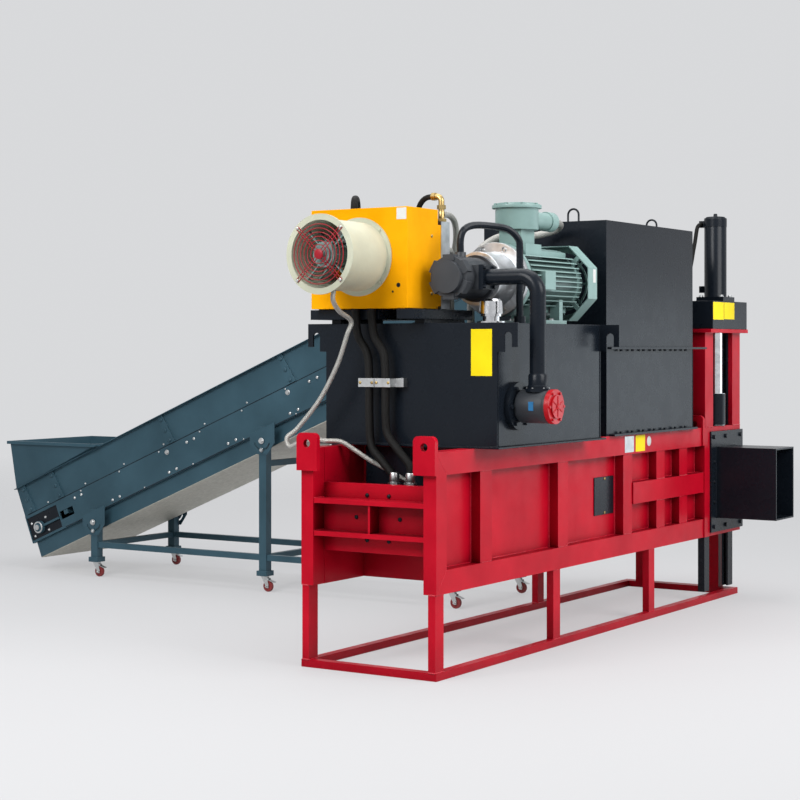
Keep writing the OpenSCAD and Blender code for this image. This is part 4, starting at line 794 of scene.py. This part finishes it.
def side_welds(shape, flip):
    """Beads where ribs, rails and the bar meet one ribbed side plate."""
    def spot(x, y, z):
        return at(x, BODY_W - y if flip else y, z)

    low, high = BODY_Z + BAND_H, BODY_TOP - BAND_H
    post_x = SECTION_X - END_POST_W
    stops = [BULKHEAD_X] + [v for x in RIB_XS for v in (x, x + RIB_W)] + [post_x]
    panels = list(zip(stops[0::2], stops[1::2]))
    for x in stops[1:]:
        bead(shape, spot(x, RIB_D, low), spot(x, RIB_D, high))
    for z in (low, high):
        for x0, x1 in panels:
            bead(shape, spot(x0, RIB_D, z), spot(x1, RIB_D, z))
        for x in RIB_XS:
            bead(shape, spot(x + 2, RIB_STEP, z), spot(x + RIB_W - 2, RIB_STEP, z))
    for z in (BAR_Z, BAR_Z + BAR_H):
        for x0, x1 in panels:
            if x1 > BAR_X:
                bead(shape, spot(max(x0, BAR_X), RIB_D, z), spot(x1, RIB_D, z))
        for x in RIB_XS:
            if x > BAR_X:
                bead(shape, spot(x, RIB_STEP, z), spot(x + RIB_W, RIB_STEP, z))
        bead(shape, spot(post_x, 0, z), spot(post_x, RIB_D, z))
    bead(shape, spot(BAR_X, RIB_D, BAR_Z), spot(BAR_X, RIB_D, BAR_Z + BAR_H))


def make_body_welds():
    """Beads of the sides, legs, end shelves and tower posts, and the mitred corners at the ram end."""
    shape = bmesh.new()
    side_welds(shape, False)
    side_welds(shape, True)
    near_y, far_y = LEG_Y, BODY_W - LEG_Y - LEG_W
    for x in LEG_XS:
        for z in (BODY_Z, RAIL_H):
            for y in (near_y, near_y + LEG_W, far_y, far_y + LEG_W):
                bead(shape, at(x, y, z), at(x + LEG_L, y, z))
            for end_x in (x, x + LEG_L):
                for y in (near_y, far_y):
                    bead(shape, at(end_x, y, z), at(end_x, y + LEG_W, z))
    for shelf_z in SHELF_ZS:
        for z in (shelf_z, shelf_z + SHELF_T):
            for y in (SHELF_Y, BODY_W - SHELF_Y):
                bead(shape, at(SHELF_X, y, z), at(BULKHEAD_X, y, z))
    for x in POST_XS:
        for z in (BODY_TOP, POST_TOP):
            bead(shape, at(x, 0, z), at(x + POST_W, 0, z))
    for y in (0, BODY_W):
        bead(shape, at(3, y, BODY_TOP - 3), at(BULKHEAD_X, y, BODY_TOP - BAND_H), MITRE_BEAD_R)
        bead(shape, at(3, y, BODY_Z + 3), at(BULKHEAD_X, y, BODY_Z + BAND_H), MITRE_BEAD_R)
    # The beads get the lighter red, a painted highlight.
    keep("body_weld_beads", shape, "red_weld_highlight")


def make_black_welds():
    """Beads of the tank, the feed box and the chute."""
    shape = bmesh.new()
    tank_x1 = TANK_X + TANK_L
    for y in (TANK_Y0, TANK_Y1):
        for x in (TANK_X + 12, tank_x1 - 12):
            bead(shape, at(x, y, TANK_Z + 1), at(x, y, TANK_TOP - 2))
        bead(shape, at(TANK_X, y, TANK_Z), at(tank_x1, y, TANK_Z))
    for x in (TANK_X, tank_x1):
        bead(shape, at(x, TANK_Y0, TANK_Z), at(x, TANK_Y1, TANK_Z))
    for y in (0, BODY_W):
        for x in (FEED_X, FEED_X + FEED_L):
            bead(shape, at(x, y, BODY_TOP + 14), at(x, y, FEED_Z - 14), FEED_BEAD_R)
    (x0, x1), (z0, z1) = CHUTE_XS, CHUTE_ZS
    for x in CHUTE_XS:
        bead(shape, at(x, FLANGE_Y, z0), at(x, FLANGE_Y, z1))
    for z in CHUTE_ZS:
        bead(shape, at(x0, FLANGE_Y, z), at(x1, FLANGE_Y, z))
    keep("tank_weld_beads", shape, "black_paint")


# Conveyor seams and fasteners

SKIRT_RIB_YS = [-70] + [-CONV_L * (0.081 + 0.2446 * i) for i in range(4)]
TAKE_UP_Y, TAKE_UP_Z, TAKE_UP_R = -117, -123, 37

# Rows of screws on a side: count, first one and pitch down the slope, height, head and step out
SCREW_ROWS = (
    (4, 525, 1140, -40, 22, 0), (4, 595, 1140, -40, 22, 0),
    (6, 865, 570, -180, 22, 0), (6, 938, 570, -180, 22, 0),
    (10, 260, 400, 22, 15, -4), (10, 600, 400, -13, 13, 0), (8, 700, 480, -200, 11, 0),
)


def make_conveyor_joints_and_shade():
    """Dark joint under the skirt boards, a black sheet on the ground of the take-up windows as painted shade,
    and dark line at the lower edge.
    """
    shape = bmesh.new()
    for side_x, out in ((CONV_X, -1), (CONV_X + CONV_W, 1)):
        for x0, x1, y0, y1, z0, z1 in (
            (-5, 0.6, 30 - CONV_L, -30, -1.5, 3.5),
            # Painted shade: black sheet on the ground of each take-up window, where the open window lies in
            # shadow.
            (-6.2, -5.4, -326, -10, -194, -24),
            (-2, 0.8, 60 - CONV_L, -360, 2 - SIDE_H, 7 - SIDE_H),
        ):
            block(shape, (side_x + x0 * out, y0, z0), (side_x + x1 * out, y1, z1), on_slope)
    keep("conveyor_joints_and_window_shade", shape, "black_paint", smooth=False)


def side_fasteners(zinc, painted, side_x, out):
    """Screws, bolts and take-up ring of one side of the conveyor."""
    def on_side(step, y, z):
        return on_slope(side_x + step * out.x, y, z)

    for rib_y in SKIRT_RIB_YS:
        for z, step in ((28, -20), (106, -10), (187, -3)):
            button_screw(painted, on_side(8, rib_y + step, z), out, 30)
    for count, first, pitch, z, head, step in SCREW_ROWS:
        for k in range(count):
            button_screw(zinc, on_side(step, -first - pitch * k, z), out, head)
    for k in range(3):
        hex_bolt(zinc, on_side(0, -1470 - 1140 * k, -42), out, 17)
    ring = [on_side(20, TAKE_UP_Y + TAKE_UP_R * math.cos(a), TAKE_UP_Z + TAKE_UP_R * math.sin(a))
            for a in full_turn(36)]
    tube(zinc, ring, 6.5, 8, closed_ends=False)
    for y in (-74, 74):
        for z in (52, -46):
            hex_bolt(zinc, on_side(-6, TAKE_UP_Y + y, TAKE_UP_Z + z), out, 9)
    for y in STAND_YS:
        edge_z = TAIL_Z + (TAIL_Y - y) * math.tan(SLOPE) - SIDE_H / math.cos(SLOPE)
        for drop, head in ((75, 20), (137, 14)):
            hex_bolt(zinc, at(side_x + 72 * out.x, y, edge_z - drop), out, head)


def make_conveyor_fasteners():
    zinc, painted = bmesh.new(), bmesh.new()
    side_fasteners(zinc, painted, CONV_X, LEFT)
    side_fasteners(zinc, painted, CONV_X + CONV_W, -LEFT)
    keep("conveyor_fasteners", zinc, "zinc_steel")
    keep("conveyor_painted_screws", painted, "slate_paint")


def make_caster_bolts():
    """Axle bolts of the casters, which swivel with their forks."""
    for n in range(1, CASTERS + 1):
        low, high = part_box(f"caster_wheel_{n}")
        axle = (low + high) / 2
        shape = bmesh.new()
        for out in (LEFT, -LEFT):
            hex_bolt(shape, axle + FORK_HALF_W * MM * out, out, 7)
        keep(f"caster_bolts_{n}", shape, "zinc_steel", body=f"caster_{n}")


# Fasteners of the press

FLANGE_BOLT_R, BULKHEAD_SCREW_R = 172, 133


def make_press_fasteners():
    """Bolts of the gate cylinder's foot, the motor's flange and the motor's feet."""
    shape = bmesh.new()
    for x in (-72, 72):
        for y in (-72, 72):
            hex_bolt(shape, at(GATE_X + x, GATE_Y + y, HEAD_TOP + 30), UP, 16)
    for a in angles(8, math.pi / 8):
        place = at(MOTOR_X - 21, MOTOR_Y + FLANGE_BOLT_R * math.cos(a), SHAFT_Z + FLANGE_BOLT_R * math.sin(a))
        hex_bolt(shape, place, LEFT, 12)
    for x in (210, 400):
        for y in (-125, 125):
            hex_bolt(shape, at(MOTOR_X + x, MOTOR_Y + y, TANK_TOP + 24), UP, 14)
    keep("press_fasteners", shape, "zinc_steel")


def make_dark_fasteners():
    """Screws on the bulkhead round the ram cylinder, and two black discs on the cooler's face, painted shade
    standing in for holes.
    """
    shape = bmesh.new()
    for a in angles(6):
        y, z = BODY_MID + BULKHEAD_SCREW_R * math.cos(a), RAM_Z + BULKHEAD_SCREW_R * math.sin(a)
        button_screw(shape, at(BULKHEAD_X, y, z), LEFT, 22)
    # Painted shade: black discs where the cooler's face has holes.
    for y, z, r in ((55, 120, 12), (90, 86, 6)):
        hole = seat(at(COOLER_X, COOLER_Y + y, COOLER_Z + z), LEFT)
        ring_stack(shape, hole, [(r, -0.4), (r, 0.5)], 24)
    keep("dark_fasteners", shape, "black_paint")


def make_small_screws():
    """Brass screws of the inspection cover, the cooler and the hose clamp."""
    shape = bmesh.new()
    for z in (259, 458):
        button_screw(shape, at(COVER_MID_X, RIB_D - COVER_T, BODY_Z + z), FRONT, 17)
    for z in (80, 385):
        button_screw(shape, at(COOLER_X + 240, COOLER_Y, COOLER_Z + z), FRONT, 18)
    for y in HOSE_YS:
        for aside in (-38, 36):
            button_screw(shape, at(HOSE_X - 32, y + aside, CLAMP_Z + CLAMP_H / 2), LEFT, 16)
    keep("brass_screws", shape, "brass")


# Blank plates

PLATE_T = 1.2
HEAD_FACE_Y = -50
COWL_FACE_Y = MOTOR_Y - 215
FILTER_X, FILTER_Z, PIPE_Y = 590, BODY_TOP + 215, TANK_Y0 - 130

# Each plate's name, lowest and highest corner and material
PRESS_PLATES = (
    ("tank_plate", (TANK_X - PLATE_T, -91, 1507), (TANK_X, 33, 1747), "plate_yellow"),
    ("head_plate_left", (GATE_X - 281, HEAD_FACE_Y - PLATE_T, HEAD_TOP - 122),
     (GATE_X - 106, HEAD_FACE_Y, HEAD_TOP - 8), "plate_yellow"),
    ("head_plate_right", (GATE_X - 98, HEAD_FACE_Y - PLATE_T, HEAD_TOP - 118),
     (GATE_X + 74, HEAD_FACE_Y, HEAD_TOP - 8), "plate_yellow"),
    ("rail_plate_left", (2136, -PLATE_T, 1028), (2260, 0, 1124), "zinc_steel"),
    ("rail_plate_right", (2286, -PLATE_T, 1028), (2416, 0, 1126), "plate_yellow"),
)

# A black sheet at the back of the ram bay, painted shade where the bay lies in shadow, and the plates of the
# power pack, in the same form
INNER_PLATES = (
    # Painted shade: black sheet across the back of the ram bay.
    ("bay_shade_sheet", (465.4, 92, RAM_Z + 116), (466.8, BODY_W - 92, BODY_TOP - 12), "black_paint"),
    ("filter_plate", (FILTER_X - 88.4, TANK_Y0 - 150, FILTER_Z - 20),
     (FILTER_X - 83, TANK_Y0 - 122, FILTER_Z + 26), "plate_blue"),
    ("cooler_plate", (COOLER_X - PLATE_T, COOLER_Y + 6, COOLER_TOP - 66),
     (COOLER_X, COOLER_Y + 66, COOLER_TOP - 6), "plate_white"),
    ("motor_plate", (MOTOR_X + 738, COWL_FACE_Y - PLATE_T, SHAFT_Z + 4),
     (MOTOR_X + 772, COWL_FACE_Y, SHAFT_Z + 80), "plate_white"),
)


def make_plates(plates):
    """Thin plates with eased edges."""
    for name, low, high, material in plates:
        shape = bmesh.new()
        block(shape, low, high, at)
        bmesh.ops.bevel(shape, geom=shape.edges[:], offset=0.4 * MM, segments=2, affect="EDGES",
                        clamp_overlap=True)
        keep(name, shape, material)


def make_rail_disc():
    """Small blank disc beside the plates on the top rail."""
    turned("rail_disc", seat(at(2474, 0, 1084), FRONT), [(30, -0.4), (30, 1), (29, 1.4)], 40, "plate_white")


# Small parts of the power pack and the gate

BEND_R, BEND_STEPS = 28, 8
BREATHER_X, BREATHER_Y, FLUTES = 650, 60, 28
CAP_FACE_Y = TANK_Y0 - 246
COLLAR_Z, COLLAR_BOLT_R = FILTER_Z + 93, 57.5


def make_cooler_lines():
    """Brass elbow and return line on the near port of the cooler, and vent line on its far port."""
    x, near, far, top = PORT_X, NEAR_PORT_Y, FAR_PORT_Y, COOLER_TOP
    bend = [at(x, near, PORT_Z), at(x, near, top + 30), at(x, near, top + 50)]
    for k in range(1, BEND_STEPS + 1):
        a = math.pi / 2 * k / BEND_STEPS
        bend.append(at(x, near + BEND_R - BEND_R * math.cos(a), top + 50 + BEND_R * math.sin(a)))
    bend.append(at(x, near + 60, top + 78))
    shape = bmesh.new()
    tube(shape, bend, 16, 20)
    ring_stack(shape, seat(at(x, near, top + 8)), [(24, 0), (24, 22)], 6)
    ring_stack(shape, seat(at(x, near + 34, top + 78), -FRONT), [(23, 0), (23, 22)], 6)
    keep("cooler_elbow", shape, "brass")
    hose_piece("cooler_return_hose", [
        (x, near, top - 56), (x, near, top + 40), (x, near + 9, top + 70), (x, near + 44, top + 78),
        (x + 4, near + 110, top + 68), (x + 30, near + 165, top + 10), (x + 70, near + 180, top - 110),
        (x + 84, near + 182, TANK_TOP + 160), (x + 84, near + 182, TANK_TOP),
    ], RETURN_D, "hose_rubber")
    hose_piece("cooler_vent_hose", [
        (x, far, top - 56), (x, far, top + 44), (x + 20, far + 10, top + 82), (x + 52, far + 26, top + 92),
        (x + 86, far + 42, top + 70), (x + 100, far + 46, top), (x + 102, far + 30, top - 160),
        (x + 102, far - 50, TANK_TOP + 130), (x + 102, far - 64, TANK_TOP),
    ], VENT_D, "hose_rubber")


def make_breather_flutes():
    """Upright ridges round the filler breather."""
    shape = bmesh.new()
    for a in angles(FLUTES):
        tube(shape, [at(BREATHER_X + r * math.cos(a), BREATHER_Y + r * math.sin(a), TANK_TOP + z)
                     for r, z in ((60.5, 54), (57, 110))], 2, 6)
    keep("breather_flutes", shape, "zinc_steel")


def make_filter_parts():
    """Star ridges on the filter's cap, the filter's jacket and the bolted collar of the suction pipe."""
    shape = bmesh.new()
    for a in angles(6, math.pi / 6):
        ridge = [at(FILTER_X + r * math.cos(a), CAP_FACE_Y, FILTER_Z + r * math.sin(a)) for r in (8, 54)]
        tube(shape, ridge, lambda i: 4.5 - 1.5 * i, 8)
    ring_stack(shape, seat(at(FILTER_X, CAP_FACE_Y, FILTER_Z), FRONT), [(16, -0.4), (16, 4), (12, 6)], 24)
    keep("filter_cap_ridges", shape, "red_cap")
    turned("filter_jacket", seat(at(FILTER_X, TANK_Y0 - 36, FILTER_Z), FRONT),
           [(80, 0), (87, 12), (87, 150), (83, 160), (87, 164), (87, 174)], 56, "grey_iron")
    turned("suction_collar", seat(at(FILTER_X, PIPE_Y, COLLAR_Z)),
           [(54, 0), (54, 12), (49, 16), (49, 66), (42.5, 76)], 48, "black_paint")
    shape = bmesh.new()
    for a in angles(6):
        x, y = FILTER_X + COLLAR_BOLT_R * math.cos(a), PIPE_Y + COLLAR_BOLT_R * math.sin(a)
        hex_bolt(shape, at(x, y, COLLAR_Z), UP, 4.5)
    keep("suction_bolts", shape, "zinc_steel")


def make_gate_parts():
    """Cap of the gate cylinder with its nub, and the sleeve on the gate rod's end block."""
    shape = bmesh.new()
    top = seat(at(GATE_X, GATE_Y, BARREL_TOP))
    r = GATE_BARREL_D / 2
    ring_stack(shape, top, [(r - 1, -60), (r + 2, -58), (r + 2, -6), (r - 1, -3)], 48, hoop=True)
    ring_stack(shape, top, [(r - 6, -1), (r - 12, 8), (r - 30, 10)], 40)
    ring_stack(shape, top, [(13, 9), (13, 24), (9, 30)], 20)
    keep("gate_cylinder_cap", shape, "black_paint")
    turned("gate_rod_sleeve", seat(at(GATE_X, GATE_Y, BODY_TOP + 5)),
           [(64, 0.5), (65.6, 2), (65.6, 208), (64, 209.5)], 48, "black_paint", body="gate_body")


make_body_welds()
make_black_welds()
make_conveyor_joints_and_shade()
make_conveyor_fasteners()
make_press_fasteners()
make_caster_bolts()
make_dark_fasteners()
make_small_screws()
make_plates(PRESS_PLATES)
make_rail_disc()
make_plates(INNER_PLATES)
make_cooler_lines()
make_breather_flutes()
make_filter_parts()
make_gate_parts()
